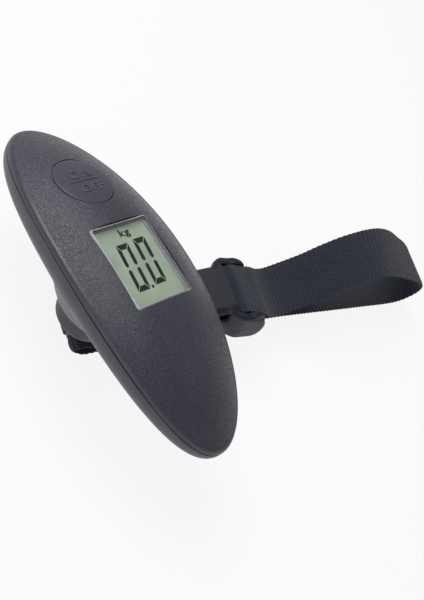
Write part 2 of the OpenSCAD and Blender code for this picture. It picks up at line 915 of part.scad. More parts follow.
// Half width of the socket's hollow, narrow at the mouth and wide at the barbs
mouth_hw = tongue_hw - 1.2;
hollow_y = arm_y + arm_l + 1.4;
hollow_hw = mouth_hw + (hollow_y - mouth_y) / 15;
function hollow_at(y) = mouth_hw + (hollow_hw - mouth_hw) * (y - mouth_y) / (hollow_y - mouth_y);
barb_y = arm_y + arm_l - barb_l;
barb_hw = hollow_at(barb_y) - 0.1;

module buckle_tongue() {
  color("#232428")
  in_buckle()
  difference() {
    union() {
      across(eye_t) {
        circle(eye_r);
        translate([0, -tongue_t / 2]) square([base_y + 2, tongue_t]);
      }
      translate([0, 0, -tongue_t / 2]) linear_extrude(tongue_t) {
        polygon([
          [-eye_t / 2, base_y - 4], [eye_t / 2, base_y - 4], [tongue_hw, base_y + 2],
          [tongue_hw, shoulder_y], [-tongue_hw, shoulder_y], [-tongue_hw, base_y + 2]
        ]);
        translate([-2, shoulder_y - 1]) square([4, 11]);
        translate([0, shoulder_y + 10]) circle(2);
      }
    }
    rotate([0, 90, 0]) cylinder(r = pin_r + pin_gap, h = 30, center = true);
    for (s = [-1, 1])
      translate([s * arm_pivot, arm_y, 0]) cylinder(r = arm_root_r, h = tongue_t + 2, center = true);
  }
}

// One latch arm, on the right of the tongue
module latch_arm() {
  root = mouth_hw - latch_gap;
  inner = barb_hw - arm_t - 0.6;
  translate([0, 0, -tongue_t / 2 + 0.1]) linear_extrude(tongue_t - 0.2) {
    translate([arm_pivot, arm_y]) circle(root_r);
    polygon([
      [root, arm_y], [barb_hw - 0.7, barb_y - 1.6], [barb_hw, barb_y],
      [barb_hw, barb_y + barb_l * 0.5], [barb_hw - 1.2, arm_y + arm_l],
      [inner, arm_y + arm_l], [inner, barb_y], [root - arm_t, arm_y]
    ]);
  }
}

module latch_arm_left() {
  color("#2a2b30")
  in_buckle() mirror([1, 0, 0]) latch_arm();
}

module latch_arm_right() {
  color("#2a2b30")
  in_buckle() latch_arm();
}

cheek_y = slot_y + 5.5;
cheek_z = sleeve_t / 2 - cheek_dip - cheek_r;
channel_hw = web_w / 2 + web_gap;
cheek_hw = channel_hw + cheek_t;
bar_y = slot_y + web_t + lay_gap + web_gap + bar_r;
bar_z = -1.2;
// Where the collar starts to flare out of the sleeve's flat face
flare_y = slot_y - 8.5;
flare_hw = sleeve_hw - sleeve_edge;

function ease(u) = u <= 0 ? 0 : u >= 1 ? 1 : u * u * (3 - 2 * u);
function collar_hw(y) =
  flare_hw + (cheek_hw - flare_hw) * ease((y - flare_y) / 10)
  - cheek_t * 0.55 * ease((y - cheek_y) / cheek_r);
function collar_top(y) = sleeve_t / 2 - cheek_dip * ease((y - slot_y + 4.5) / 9);

// Outline of the collar and its two cheeks seen from above
module collar_plan() {
  steps = 20;
  ys = [for (k = [0 : steps]) flare_y + (cheek_y + cheek_r - flare_y) * k / steps];
  right = [for (y = ys) [collar_hw(y), y]];
  left = [for (k = [steps : -1 : 0]) [-collar_hw(ys[k]), ys[k]]];
  polygon(concat(right, left));
}

// The same seen from the side: the top edge dips from the sleeve to the round end
module collar_side() {
  steps = 12;
  edge = [for (k = [0 : steps]) let (y = flare_y + (cheek_y - flare_y) * k / steps) [y, collar_top(y)]];
  polygon(concat(edge, [[cheek_y, -sleeve_t / 2], [flare_y, -sleeve_t / 2]]));
  translate([cheek_y, cheek_z]) circle(cheek_r);
}

module buckle_socket() {
  color("#232428")
  in_buckle()
  difference() {
    union() {
      translate([0, mouth_y, 0]) rotate([-90, 0, 0])
        linear_extrude(slot_y - mouth_y) rounded(2 * sleeve_hw, sleeve_t, sleeve_edge);
      difference() {
        intersection() {
          translate([0, 0, -30]) linear_extrude(60) collar_plan();
          across(60) collar_side();
        }
        translate([-channel_hw, slot_y, -30]) cube([2 * channel_hw, 60, 60]);
        translate([-channel_hw, slot_y - 3, -30]) cube([2 * channel_hw, 60, 30 - sleeve_t / 2]);
      }
      translate([0, bar_y, bar_z]) rotate([0, 90, 0])
        cylinder(r = bar_r, h = 2 * channel_hw + 1, center = true);
    }
    translate([0, 0, -tongue_t / 2 - latch_gap]) linear_extrude(tongue_t + 2 * latch_gap)
      polygon([
        [-mouth_hw, mouth_y - 1], [mouth_hw, mouth_y - 1],
        [mouth_hw, mouth_y], [hollow_hw, hollow_y], [-hollow_hw, hollow_y], [-mouth_hw, mouth_y]
      ]);
    translate([-sleeve_hw * 2, barb_y - 0.4, -2.4]) cube([sleeve_hw * 4, barb_l + 1, 4.8]);
  }
}

// Strap: one webbing, sewn round the pin and round the socket's bar.
// Places are along the strap, across it and up, then its roll in degrees.

pin_loop = pin_r + lay_gap + web_t / 2;
bar_loop = bar_r + lay_gap + web_t / 2;
bar_mid = [
  bar_y * cos(buckle_tilt) - bar_z * sin(buckle_tilt),
  bar_y * sin(buckle_tilt) + bar_z * cos(buckle_tilt)
];
layer = (web_t + lay_gap) / 2;
lower_run = [
  [40, -0.6, 3, 0], [62, -2, 5.2, 0], [85, -4, 6, 0], [107, -5.5, 4.6, 0],
  [126, -6.6, 3.3, 0], [146, -7.7, 2.2, 0], [164, -8.5, 1.6, 0]
];
far_fold = [[173, -8.9, 3, 0], [177.5, -9, 8, 0], [177, -9, 13.5, 0], [171.5, -8.8, 18.8, 4]];
upper_run = [
  [158, -8, 25.4, 9], [143, -7, 31.8, 17], [130.5, -6, 34.6, 20], [118, -5, 32, 28],
  [109.5, -4.3, 27.2, 32], [101.5, -3.6, 20.6, 30], [92.7, -2.8, 15.6, 22], [84.5, -1.6, 13.6, 12]
];
strap_path = concat(
  [[28, -0.2, 1.95 + layer, 0], [21, 0, 0.75 + layer, 0], [15, 0, layer, 0]],
  [[9, 0, layer + 0.2, 0], [4, 0, pin_loop * 0.82, 0]],
  [for (a = [85 : 38 : 275]) [pin_loop * cos(a), 0, pin_loop * sin(a), 0]],
  [[4, 0, -pin_loop * 0.82, 0], [9, 0, -layer - 0.2, 0], [15, 0, -layer, 0]],
  [[21, 0, 0.75 - layer, 0], [28, -0.2, 1.95 - layer, 0]],
  lower_run, far_fold, upper_run,
  [[bar_mid[0] + 16.5, -0.4, bar_mid[1] - 3.6, 8]],
  [for (t = [11.5, 6])
    [bar_mid[0] + 0.26 * bar_loop + t * 0.966, 0, bar_mid[1] + bar_loop * 0.966 - t * 0.26, t / 2 - 2]],
  [for (a = [76 : 36 : 256])
    [bar_mid[0] + bar_loop * cos(a), 0, bar_mid[1] + bar_loop * sin(a), 0]],
  [[bar_mid[0] + 5, 0, bar_mid[1] - bar_loop - 0.2, 0], [bar_mid[0] + 9.5, 0, bar_mid[1] - 2.1, 0],
   [bar_mid[0] + 13, 0, bar_mid[1] - 2.7, 0]]
);

function curve(p, q, r, s, u) =
  0.5 * (2 * q + (r - p) * u + (2 * p - 5 * q + 4 * r - s) * u * u + (3 * q - p - 3 * r + s) * u * u * u);
function place(k) = strap_path[max(0, min(len(strap_path) - 1, k))];
strap_line = concat(
  [for (k = [0 : len(strap_path) - 2], u = [0, 0.5])
    curve(place(k - 1), place(k), place(k + 1), place(k + 2), u)],
  [strap_path[len(strap_path) - 1]]
);
function heading(k) =
  let (
    n = len(strap_line) - 1,
    d = strap_line[min(k + 1, n)] - strap_line[max(k - 1, 0)],
    v = [d[1], d[0], d[2]]
  )
  v / norm(v);
function web_section(k) =
  let (
    q = strap_line[k],
    t = heading(k),
    b0 = [cos(q[3]), 0, -sin(q[3])],
    b = (b0 - (b0 * t) * t) / norm(b0 - (b0 * t) * t),
    n = cross(b, t),
    c = [q[1], q[0], q[2]]
  )
  [for (e = [[-1, -1], [1, -1], [1, 1], [-1, 1]]) c + b * e[0] * web_w / 2 + n * e[1] * web_t / 2];

module strap() {
  m = len(strap_line);
  sections = [for (k = [0 : m - 1]) each web_section(k)];
  sides = [
    for (k = [0 : m - 2], i = [0 : 3])
      let (a = 4 * k + i, b = 4 * k + (i + 1) % 4)
        each [[a, a + 4, b + 4], [a, b + 4, b]]
  ];
  last = 4 * (m - 1);
  ends = [[0, 1, 2], [0, 2, 3], [last, last + 2, last + 1], [last, last + 3, last + 2]];
  slit = ear_gap + 2 * ear_t + 2 * web_gap;
  color("#1d1e22")
  in_strap()
  difference() {
    polyhedron(points = sections, faces = concat(sides, ends), convexity = 8);
    translate([-slit / 2, -eye_r * 2, -eye_r * 2]) cube([slit, base_y + eye_r * 2, eye_r * 4]);
  }
}

top_cover();
bottom_cover();
display_lens();
lcd_panel();
lcd_frame();
elastomer_strips();
circuit_board();
chip_cover();
board_screws();
tact_switch();
switch_plunger();
button_cap();
battery_door();
coin_cell();
battery_holder();
battery_contact_plus();
battery_contact_minus();
load_beam();
strain_gauges();
beam_screws();
cover_screws();
thrust_washer();
load_bolt();
stem();
cross_pin();
buckle_tongue();
latch_arm_left();
latch_arm_right();
buckle_socket();
strap();
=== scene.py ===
"""Dresses the luggage scale: smooth shells, display, lettering, buckle and ribbed webbing."""

import math

import bmesh
import bpy
import numpy as np
from bpy.props import FloatProperty, StringProperty
from mathutils import Euler, Matrix, Vector


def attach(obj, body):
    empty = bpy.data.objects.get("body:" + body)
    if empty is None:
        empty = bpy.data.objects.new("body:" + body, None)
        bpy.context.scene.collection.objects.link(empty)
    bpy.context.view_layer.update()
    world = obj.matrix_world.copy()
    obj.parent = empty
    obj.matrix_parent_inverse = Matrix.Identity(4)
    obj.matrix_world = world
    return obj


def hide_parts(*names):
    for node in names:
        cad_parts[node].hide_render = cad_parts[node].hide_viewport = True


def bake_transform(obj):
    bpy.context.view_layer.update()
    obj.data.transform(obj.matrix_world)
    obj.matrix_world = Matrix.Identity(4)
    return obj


bl_info = {
    "name": "Luggage scale finish",
    "version": (1, 0, 0),
    "blender": (4, 5, 0),
    "location": "View3D > Sidebar > Scale",
    "description": "Builds the finished surfaces of a hand-held luggage scale",
    "category": "Object",
}

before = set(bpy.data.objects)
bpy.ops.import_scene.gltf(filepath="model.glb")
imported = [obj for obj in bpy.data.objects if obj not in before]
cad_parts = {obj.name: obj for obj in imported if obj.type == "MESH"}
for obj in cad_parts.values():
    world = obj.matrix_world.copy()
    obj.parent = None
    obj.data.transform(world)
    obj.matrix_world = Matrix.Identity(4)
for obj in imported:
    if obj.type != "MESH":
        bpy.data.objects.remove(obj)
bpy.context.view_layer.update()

MM = 0.001
# The grip's own frame: middle of the grip at the height of the joint line
GRIP = Vector((2.25, 0.0, 40.0))
STRAP_YAW = math.radians(15.0)
BUCKLE_TILT = math.radians(18.5)


# Sizes and colours

class ScaleShellSettings(bpy.types.PropertyGroup):
    body_l: FloatProperty(name="Grip length", description="Length along the joint line, mm", default=126.5)
    body_w: FloatProperty(name="Grip width", description="Width at the joint line, mm", default=49.5)
    arch_drop: FloatProperty(name="Arch", description="Drop of the tips below the middle, mm", default=10.0)
    crease_h: FloatProperty(name="Side wall", description="Height of the cover's side wall, mm", default=2.2)
    crease_in: FloatProperty(name="Side lean", description="Lean of the cover's side wall, mm", default=1.6)
    dome_h: FloatProperty(name="Crown", description="Rise of the cover above its side wall, mm", default=5.9)
    dome_pow: FloatProperty(name="Crown roundness", description="Power of the crown across", default=2.7)
    hull_d: FloatProperty(name="Depth", description="Depth of the lower shell, mm", default=15.3)
    hull_pow: FloatProperty(name="Lower roundness", description="Power of the lower shell", default=2.6)
    wall: FloatProperty(name="Wall", description="Wall of both shells, mm", default=1.8)
    groove: FloatProperty(name="Groove", description="Depth of the groove on the joint line, mm", default=0.5)
    grain: FloatProperty(name="Grain", description="Width of one pit of the moulded grain as drawn, mm", default=0.3)
    cover_colour: StringProperty(name="Cover colour", description="sRGB hex of the cover", default="#3c3d49")
    shell_colour: StringProperty(name="Lower colour", description="sRGB hex of the lower shell", default="#383945")
    button_colour: StringProperty(name="Button colour", description="sRGB hex of the button", default="#444552")


class ScaleDisplaySettings(bpy.types.PropertyGroup):
    digit_h: FloatProperty(name="Digit height", description="Height of a digit, mm", default=16.8)
    digit_w: FloatProperty(name="Digit width", description="Width of a digit, mm", default=5.2)
    stroke: FloatProperty(name="Stroke", description="Width of an upright segment, mm", default=1.4)
    slant: FloatProperty(name="Slant", description="Lean of a digit over its height, mm", default=1.8)
    glass_colour: StringProperty(name="Panel colour", description="sRGB hex of the blank panel", default="#a9b8a3")
    ink_colour: StringProperty(name="Segment colour", description="sRGB hex of a dark segment", default="#0d1210")


class ScaleStrapSettings(bpy.types.PropertyGroup):
    width: FloatProperty(name="Width", description="Width of the webbing, mm", default=20.0)
    thickness: FloatProperty(name="Thickness", description="Thickness of the webbing, mm", default=1.3)
    rib_pitch: FloatProperty(name="Rib pitch", description="Spacing of the woven ribs, mm", default=2.1)
    rib_depth: FloatProperty(name="Rib depth", description="Depth between the ribs, mm", default=0.26)
    stitch_l: FloatProperty(name="Stitch length", description="Length of one stitch, mm", default=2.0)
    thread: FloatProperty(name="Thread", description="Thickness of the sewing thread, mm", default=0.45)
    yarn_colour: StringProperty(name="Yarn colour", description="sRGB hex of the webbing", default="#262a37")
    buckle_colour: StringProperty(name="Buckle colour", description="sRGB hex of the buckle", default="#1c212d")


class ScaleStageSettings(bpy.types.PropertyGroup):
    key_energy: FloatProperty(name="Key light", description="Power of the key light", default=3.3, unit="POWER")
    fill_energy: FloatProperty(name="Fill light", description="Power of the fill light", default=0.8, unit="POWER")
    sky: FloatProperty(name="Sky", description="Strength of the even light from all round", default=0.28)


# Colour and materials

def linear(code):
    """sRGB hex to linear RGBA."""
    out = []
    for k in (1, 3, 5):
        c = int(code[k:k + 2], 16) / 255.0
        out.append(c / 12.92 if c <= 0.04045 else ((c + 0.055) / 1.055) ** 2.4)
    return (*out, 1.0)


def add(tree, kind, inputs=None, stops=(), **settings):
    """Adds a node with its settings and colour stops; an input that is a node or a socket is linked, others are set."""
    made = tree.nodes.new(kind)
    for key, value in settings.items():
        setattr(made, key, value)
    for k, (place, code) in enumerate(stops):
        made.color_ramp.elements[k].position = place
        made.color_ramp.elements[k].color = linear(code)
    for key, value in (inputs or {}).items():
        if isinstance(value, bpy.types.Node):
            value = value.outputs[0]
        if isinstance(value, bpy.types.NodeSocket):
            tree.links.new(value, made.inputs[key])
        else:
            made.inputs[key].default_value = value
    return made


def blank(data):
    """The empty node tree of a new material or world."""
    data.use_nodes = True
    data.node_tree.nodes.clear()
    return data.node_tree


def shade(code, factor):
    """A hex colour made lighter or darker."""
    parts = [min(255, max(0, round(int(code[k:k + 2], 16) * factor))) for k in (1, 3, 5)]
    return "#%02x%02x%02x" % tuple(parts)


# Kinds of surface: each gives its shader's inputs, and mm is the place on the piece in millimetres

def moulded_abs(tree, mm, colour, grain_mm, grain_depth, roughness, speckle, ior=1.54, sheen=0.07):
    """ABS moulded in a spark-eroded tool: an even pebble of fine pits that breaks up the sheen."""
    pits = add(tree, "ShaderNodeTexVoronoi", {"Vector": mm, "Scale": 1.0 / grain_mm})
    pick = add(tree, "ShaderNodeSeparateColor", {0: pits.outputs["Color"]})
    broad = add(tree, "ShaderNodeTexNoise", {"Vector": mm, "Scale": 0.06, "Detail": 2.0})
    tone = add(tree, "ShaderNodeValToRGB", {"Fac": pick},
               ((0.0, shade(colour, 1 - speckle)), (1.0, shade(colour, 1 + speckle))))
    drift = add(tree, "ShaderNodeValToRGB", {"Fac": broad}, ((0.35, "#ececee"), (0.65, "#ffffff")))
    mixed = add(tree, "ShaderNodeMix", {0: 1.0, 6: tone, 7: drift}, data_type="RGBA", blend_type="MULTIPLY")
    rough = add(tree, "ShaderNodeMapRange", {"Value": pick, "To Min": roughness - sheen, "To Max": roughness + sheen})
    bump = add(tree, "ShaderNodeBump",
               {"Height": pits.outputs["Distance"], "Strength": 1.0, "Distance": grain_depth * MM})
    return {"Base Color": mixed.outputs[2], "Roughness": rough, "IOR": ior, "Normal": bump}


def plain_moulding(tree, mm, colour, roughness, ior=1.5):
    """A small moulding from a polished tool: an even tone with a faint flow mark."""
    flow = add(tree, "ShaderNodeTexNoise", {"Vector": mm, "Scale": 0.35, "Detail": 3.0})
    tone = add(tree, "ShaderNodeValToRGB", {"Fac": flow}, ((0.3, shade(colour, 0.94)), (0.7, shade(colour, 1.06))))
    rough = add(tree, "ShaderNodeMapRange", {"Value": flow, "To Min": roughness - 0.05, "To Max": roughness + 0.05})
    return {"Base Color": tone, "Roughness": rough, "IOR": ior}


def turned_metal(tree, mm, colour, roughness):
    """Plated or milled metal: fine tool lines that stretch the highlight."""
    lines = add(tree, "ShaderNodeTexNoise", {"Vector": mm, "Scale": 4.0, "Detail": 3.0})
    tone = add(tree, "ShaderNodeValToRGB", {"Fac": lines}, ((0.3, shade(colour, 0.92)), (0.7, colour)))
    rough = add(tree, "ShaderNodeMapRange", {"Value": lines, "To Min": roughness - 0.06, "To Max": roughness + 0.08})
    bump = add(tree, "ShaderNodeBump", {"Height": lines, "Strength": 0.08, "Distance": 0.1 * MM})
    return {"Base Color": tone, "Metallic": 1.0, "Roughness": rough, "Normal": bump}


def clear_polycarbonate(tree, mm):
    """Polished clear polycarbonate: a sharp reflection, and the light bent as it passes; the lens's pale edges are
    painted on its sides and bevel.
    """
    haze = add(tree, "ShaderNodeTexNoise", {"Vector": mm, "Scale": 0.5, "Detail": 2.0})
    rough = add(tree, "ShaderNodeMapRange", {"Value": haze, "To Min": 0.0, "To Max": 0.03})
    return {"Base Color": linear("#fbfdfc"), "Roughness": rough, "IOR": 1.49, "Transmission Weight": 1.0}


def reflective_lcd(tree, mm, colour):
    """Reflective display glass: a matt grey-green polariser film with a faint drift of tone."""
    film = add(tree, "ShaderNodeTexNoise", {"Vector": mm, "Scale": 0.12, "Detail": 1.0})
    tone = add(tree, "ShaderNodeValToRGB", {"Fac": film}, ((0.35, shade(colour, 0.96)), (0.65, shade(colour, 1.04))))
    return {"Base Color": tone, "Roughness": 0.7, "IOR": 1.1}


def woven_webbing(tree, _, colour, pitch_mm, yarn_mm=0.9, lean=0.7):
    """Polypropylene webbing: rows of twisted yarn across the strap, each yarn a short slanted float."""
    # The map is in millimetres of the webbing: across the strap, then along it
    uv = add(tree, "ShaderNodeUVMap", uv_map="webbing")
    across, height = add(tree, "ShaderNodeSeparateXYZ", {0: uv}).outputs[:2]
    fuzz = add(tree, "ShaderNodeTexNoise", {"Vector": uv, "Scale": 3.0, "Detail": 4.0})
    # The place within a row shifts its yarns across; they then rise and fall as a wave, with some fuzz
    for operation, other in (("DIVIDE", pitch_mm), ("FRACT", 0.0), ("MULTIPLY", lean), ("ADD", across),
                             ("MULTIPLY", 2 * math.pi / yarn_mm), ("SINE", 0.0), ("ADD", fuzz)):
        height = add(tree, "ShaderNodeMath", {0: height, 1: other}, operation=operation)
    # The colour follows the yarn's height: painted shade in the hollows between the yarns and painted light on their
    # crests
    level = add(tree, "ShaderNodeMapRange", {"Value": height, "From Min": -0.6, "From Max": 1.6})
    tone = add(tree, "ShaderNodeValToRGB", {"Fac": level}, ((0.0, shade(colour, 0.62)), (1.0, shade(colour, 1.35))))
    bump = add(tree, "ShaderNodeBump", {"Height": height, "Strength": 0.6, "Distance": 0.15 * MM})
    return {"Base Color": tone, "Roughness": 0.82, "IOR": 1.49, "Sheen Weight": 0.2, "Sheen Roughness": 0.5,
            "Normal": bump}


def solder_mask(tree, mm, colour):
    """Glass-fibre board under green lacquer, with the tracks showing faintly."""
    tracks = add(tree, "ShaderNodeTexBrick",
                 {"Vector": mm, "Color1": linear(colour), "Color2": linear(shade(colour, 0.9)),
                  "Mortar": linear(shade(colour, 1.25)), "Scale": 1.0, "Mortar Size": 0.12,
                  "Brick Width": 6.0, "Row Height": 1.6})
    return {"Base Color": tracks, "Roughness": 0.3, "IOR": 1.5}


def material(name, surface, *values):
    """A material in which one shader takes what a kind of surface gives."""
    made = bpy.data.materials.new(name)
    tree = blank(made)
    coords = add(tree, "ShaderNodeTexCoord")
    mm = add(tree, "ShaderNodeVectorMath", {0: coords.outputs["Object"], 1: (1000, 1000, 1000)},
             operation="MULTIPLY")
    shader = add(tree, "ShaderNodeBsdfPrincipled", surface(tree, mm, *values))
    add(tree, "ShaderNodeOutputMaterial", {0: shader})
    return made


MATERIALS = {}


def finish_of(key):
    """The object's materials, made once."""
    shell = bpy.context.scene.scale_shell
    strap = bpy.context.scene.scale_strap
    shown = bpy.context.scene.scale_display
    # The pits of the real grain are near 0.2 mm; they are drawn coarser so that they show
    kinds = {
        "cover": ("ABS_spark_grain_cover", moulded_abs, shell.cover_colour, shell.grain, 0.085, 0.35, 0.08, 1.54, 0.22),
        "flank": ("ABS_satin_side_wall", moulded_abs, shell.cover_colour, 0.5, 0.01, 0.4, 0.03),
        "shell": ("ABS_satin_lower_shell", moulded_abs, shell.shell_colour, 0.5, 0.015, 0.42, 0.03),
        "button": ("ABS_satin_button", moulded_abs, shell.button_colour, 0.5, 0.01, 0.42, 0.03),
        # The letters are painted 15% lighter than the button: a painted highlight on their raised edges
        "letters": ("ABS_polished_letters_painted_highlight", plain_moulding, shade(shell.button_colour, 1.15), 0.3, 1.54),
        "lens": ("Polycarbonate_polished_lens", clear_polycarbonate),
        # The lens's bevel is painted pale as a painted glint; its sides and the border on the ledge are painted grey:
        # the border partly a printed border, and both painted light seen through the lens's edge
        "lens_bevel_glint": ("Polycarbonate_bevel_painted_glint", plain_moulding, "#bcbcc0", 0.4),
        "lens_side_print_and_light": ("Polycarbonate_moulded_side", plain_moulding, "#8f8e94", 0.4),
        "lcd": ("Display_glass_polariser", reflective_lcd, shown.glass_colour),
        "ink": ("Display_segment_dark", plain_moulding, shown.ink_colour, 0.7, 1.05),
        "buckle": ("Acetal_moulded_buckle", moulded_abs, strap.buckle_colour, 0.5, 0.015, 0.58, 0.04, 1.45),
        "webbing": ("Polypropylene_ribbed_webbing", woven_webbing, strap.yarn_colour, strap.rib_pitch),
        "thread": ("Polyester_sewing_thread", plain_moulding, "#1b1c20", 0.7),
        "stem": ("Zinc_casting_grey_paint", plain_moulding, "#3c3d44", 0.4),
        "steel": ("Steel_zinc_plated", turned_metal, "#c3c6c9", 0.3),
        "pin": ("Steel_blackened_pin", turned_metal, "#4a4c52", 0.4),
        "cell": ("Steel_nickel_plated_cell", turned_metal, "#d8dadc", 0.2),
        "contact": ("Brass_nickel_plated_contact", turned_metal, "#d9d2b8", 0.25),
        "aluminium": ("Aluminium_milled_beam", turned_metal, "#cfd2d4", 0.35),
        "gauge": ("Polyimide_foil_gauge", plain_moulding, "#b5812f", 0.35),
        "white": ("ABS_white_frame", plain_moulding, "#e4e4de", 0.45),
        "black": ("ABS_black_holder", plain_moulding, "#222327", 0.45),
        "plunger": ("Nylon_natural_plunger", plain_moulding, "#d6d1c4", 0.4),
        "elastomer": ("Silicone_contact_strip", plain_moulding, "#d6979a", 0.6),
        "resin": ("Epoxy_black_drop", plain_moulding, "#141416", 0.15),
        "board": ("Glass_fibre_board_lacquer", solder_mask, "#1f6b3d"),
    }
    if key not in MATERIALS:
        MATERIALS[key] = material(*kinds[key])
    return MATERIALS[key]


def paint(obj, *keys):
    """Gives a piece its finishes."""
    obj.data.materials.clear()
    for key in keys:
        obj.data.materials.append(finish_of(key))
    return obj


# Mesh helpers

def placed(name, data):
    """A new object in the scene."""
    made = bpy.data.objects.new(name, data)
    bpy.context.scene.collection.objects.link(made)
    return made


def mesh_object(name, verts, faces, uv=None, edges=()):
    """A new object from points in millimetres."""
    mesh = bpy.data.meshes.new(name)
    mesh.from_pydata([tuple(c * MM for c in v) for v in verts], edges, faces)
    if uv is not None:
        layer = mesh.uv_layers.new(name="webbing")
        index = np.zeros(len(mesh.loops), np.int32)
        mesh.loops.foreach_get("vertex_index", index)
        layer.data.foreach_set("uv", np.asarray(uv, np.float32)[index].ravel())
    mesh.validate()
    return placed(name, mesh)


def outward(obj):
    """Turns the faces of a closed mesh outwards."""
    work = bmesh.new()
    work.from_mesh(obj.data)
    bmesh.ops.recalc_face_normals(work, faces=work.faces)
    work.to_mesh(obj.data)
    work.free()
    return obj


def settle(obj):
    """Applies the object's modifiers and place to its mesh."""
    graph = bpy.context.evaluated_depsgraph_get()
    mesh = bpy.data.meshes.new_from_object(obj.evaluated_get(graph), depsgraph=graph)
    mesh.transform(obj.matrix_world)
    if obj.type != "MESH":
        name = obj.name
        bpy.data.objects.remove(obj)
        return placed(name, mesh)
    old = obj.data
    obj.modifiers.clear()
    obj.data = mesh
    obj.matrix_world = Matrix.Identity(4)
    bpy.data.meshes.remove(old)
    return obj


def smooth(obj, angle=30.0):
    """Smooth shading with real edges kept sharp."""
    obj.data.shade_smooth()
    obj.data.set_sharp_from_angle(angle=math.radians(angle))
    return obj


def modify(obj, kind, **settings):
    """Adds a modifier with its settings."""
    made = obj.modifiers.new(kind.lower(), kind)
    for key, value in settings.items():
        setattr(made, key, value)
    return made


def cut(obj, tool, operation="DIFFERENCE"):
    """One boolean, applied; the tool goes away."""
    modify(obj, "BOOLEAN", operation=operation, solver="EXACT", object=tool)
    settle(obj)
    bpy.data.objects.remove(tool)
    return obj


def join(name, objs):
    """Several meshes as one object."""
    whole = bmesh.new()
    for o in objs:
        whole.from_mesh(o.data)
        bpy.data.objects.remove(o)
    mesh = bpy.data.meshes.new(name)
    whole.to_mesh(mesh)
    whole.free()
    return placed(name, mesh)


def even(obj):
    """Normals weighted by area, so that flat faces stay flat beside their rounded edges."""
    modify(obj, "WEIGHTED_NORMAL", keep_sharp=True)
    return settle(obj)


def soften(node, name, width):
    """A copy of a CAD node with its moulded edges rounded."""
    work = bmesh.new()
    work.from_mesh(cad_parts[node].data)
    bmesh.ops.remove_doubles(work, verts=work.verts, dist=2e-6)
    bmesh.ops.dissolve_limit(work, angle_limit=math.radians(0.6), verts=work.verts, edges=work.edges)
    mesh = bpy.data.meshes.new(name)
    work.to_mesh(mesh)
    work.free()
    made = placed(name, mesh)
    modify(made, "BEVEL", width=width * MM, segments=3, limit_method="ANGLE", angle_limit=math.radians(28.0),
           miter_outer="MITER_ARC", use_clamp_overlap=True)
    settle(made)
    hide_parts(node)
    return smooth(made, 38.0)


def spline(points, steps):
    """A smooth line through the points, from the second to the last but one."""
    u = np.linspace(0, 1, steps, endpoint=False)[:, None]
    parts = []
    for a, b, c, d in zip(points, points[1:], points[2:], points[3:]):
        parts.append(0.5 * (2 * b + (c - a) * u + (2 * a - 5 * b + 4 * c - d) * u ** 2
                            + (3 * b - a - 3 * c + d) * u ** 3))
    return np.vstack(parts)


# The grip's surfaces, from the same rules as the solids

RING = 256
# Half of the gap between the two shells, and the groove's height as a share of its depth
HALF_GAP, GROOVE_SHARE = 0.05, 0.6


def sizes():
    """The grip's settings."""
    return bpy.context.scene.scale_shell


def arch(x):
    s = sizes()
    return -s.arch_drop * (2 * x / s.body_l) ** 2


def around(count):
    """Angles once round."""
    return np.linspace(0, 2 * np.pi, count, endpoint=False)


def polar(x, r, t, z):
    """Points round an upright axis at x in the grip's frame."""
    return np.stack([x + r * np.cos(t), r * np.sin(t), z + 0 * t], 1) + np.array(GRIP)


def ring(a, b, h):
    t = around(RING)
    x, y = a * np.cos(t), b * np.sin(t)
    return np.stack([x, y, arch(x) + h], 1) + np.array(GRIP)


def crown_height(s):
    k = sizes()
    return k.crease_h + k.dome_h * (1 - s ** k.dome_pow)


def cover_height(x, y):
    """Height of the cover over the joint line."""
    s = sizes()
    return arch(x) + crown_height(math.hypot(x / (s.body_l / 2 - s.crease_in), y / (s.body_w / 2 - s.crease_in)))


def stack_faces(n, m):
    """Faces of m rings of n points, after a point at the foot and before one at the top."""
    last, faces = 1 + n * m, []
    for k in range(m - 1):
        for i in range(n):
            a, b = 1 + k * n + i, 1 + k * n + (i + 1) % n
            faces.append((a, b, b + n, a + n))
    for i in range(n):
        j = (i + 1) % n
        faces.append((0, 1 + j, 1 + i))
        faces.append((last, last - n + i, last - n + j))
    return faces


def loft(name, rings, low, high):
    """A closed skin through rings from the lowest to the highest."""
    verts = [np.array(GRIP) + np.array(low)] + [p for r in rings for p in r] + [np.array(GRIP) + np.array(high)]
    return mesh_object(name, verts, stack_faces(len(rings[0]), len(rings)))


def cover_skin():
    s = sizes()
    a, b, c, h = s.body_l / 2, s.body_w / 2, s.crease_in, s.crease_h
    rings = [ring(a - s.groove, b - s.groove, HALF_GAP), ring(a, b, HALF_GAP + s.groove * GROOVE_SHARE)]
    for i, z in ((0.05, 0.4), (0.15, 0.55), (0.3, 0.72), (0.5, 0.85), (0.72, 0.94), (0.9, 0.985), (1.0, 1.0)):
        rings.append(ring(a - c * i, b - c * i, h * z))
    side = len(rings)
    for k in np.linspace(0.99, 0.06, 30):
        rings.append(ring((a - c) * k, (b - c) * k, crown_height(k)))
    made = loft("cover_skin", rings, (0, 0, HALF_GAP), (0, 0, h + s.dome_h))
    # The grain is on the crowned face only: the side wall comes from a polished part of the tool
    paint(made, "cover", "flank")
    for face in made.data.polygons[:RING * (side - 1)]:
        face.material_index = 1
    return made


def cover_hollow():
    s = sizes()
    a, b, c, h, w = s.body_l / 2, s.body_w / 2, s.crease_in, s.crease_h, s.wall
    rings = [ring(a - w, b - w, -2), ring(a - w, b - w, h * 0.2),
             ring(a - w - 0.6 * c, b - w - 0.6 * c, h - 0.75 * w)]
    for k in np.linspace(0.95, 0.1, 10):
        rings.append(ring((a - w - c) * k, (b - w - c) * k, crown_height(k) - w))
    return loft("cover_hollow", rings, (0, 0, -2), (0, 0, h + s.dome_h - w))


def hull_ring(f, i):
    s = sizes()
    c, d = math.cos(f) ** (2 / s.hull_pow), math.sin(f) ** (2 / s.hull_pow)
    return ring((s.body_l / 2 - i) * c, (s.body_w / 2 - i) * c, -HALF_GAP - (s.hull_d - i) * d)


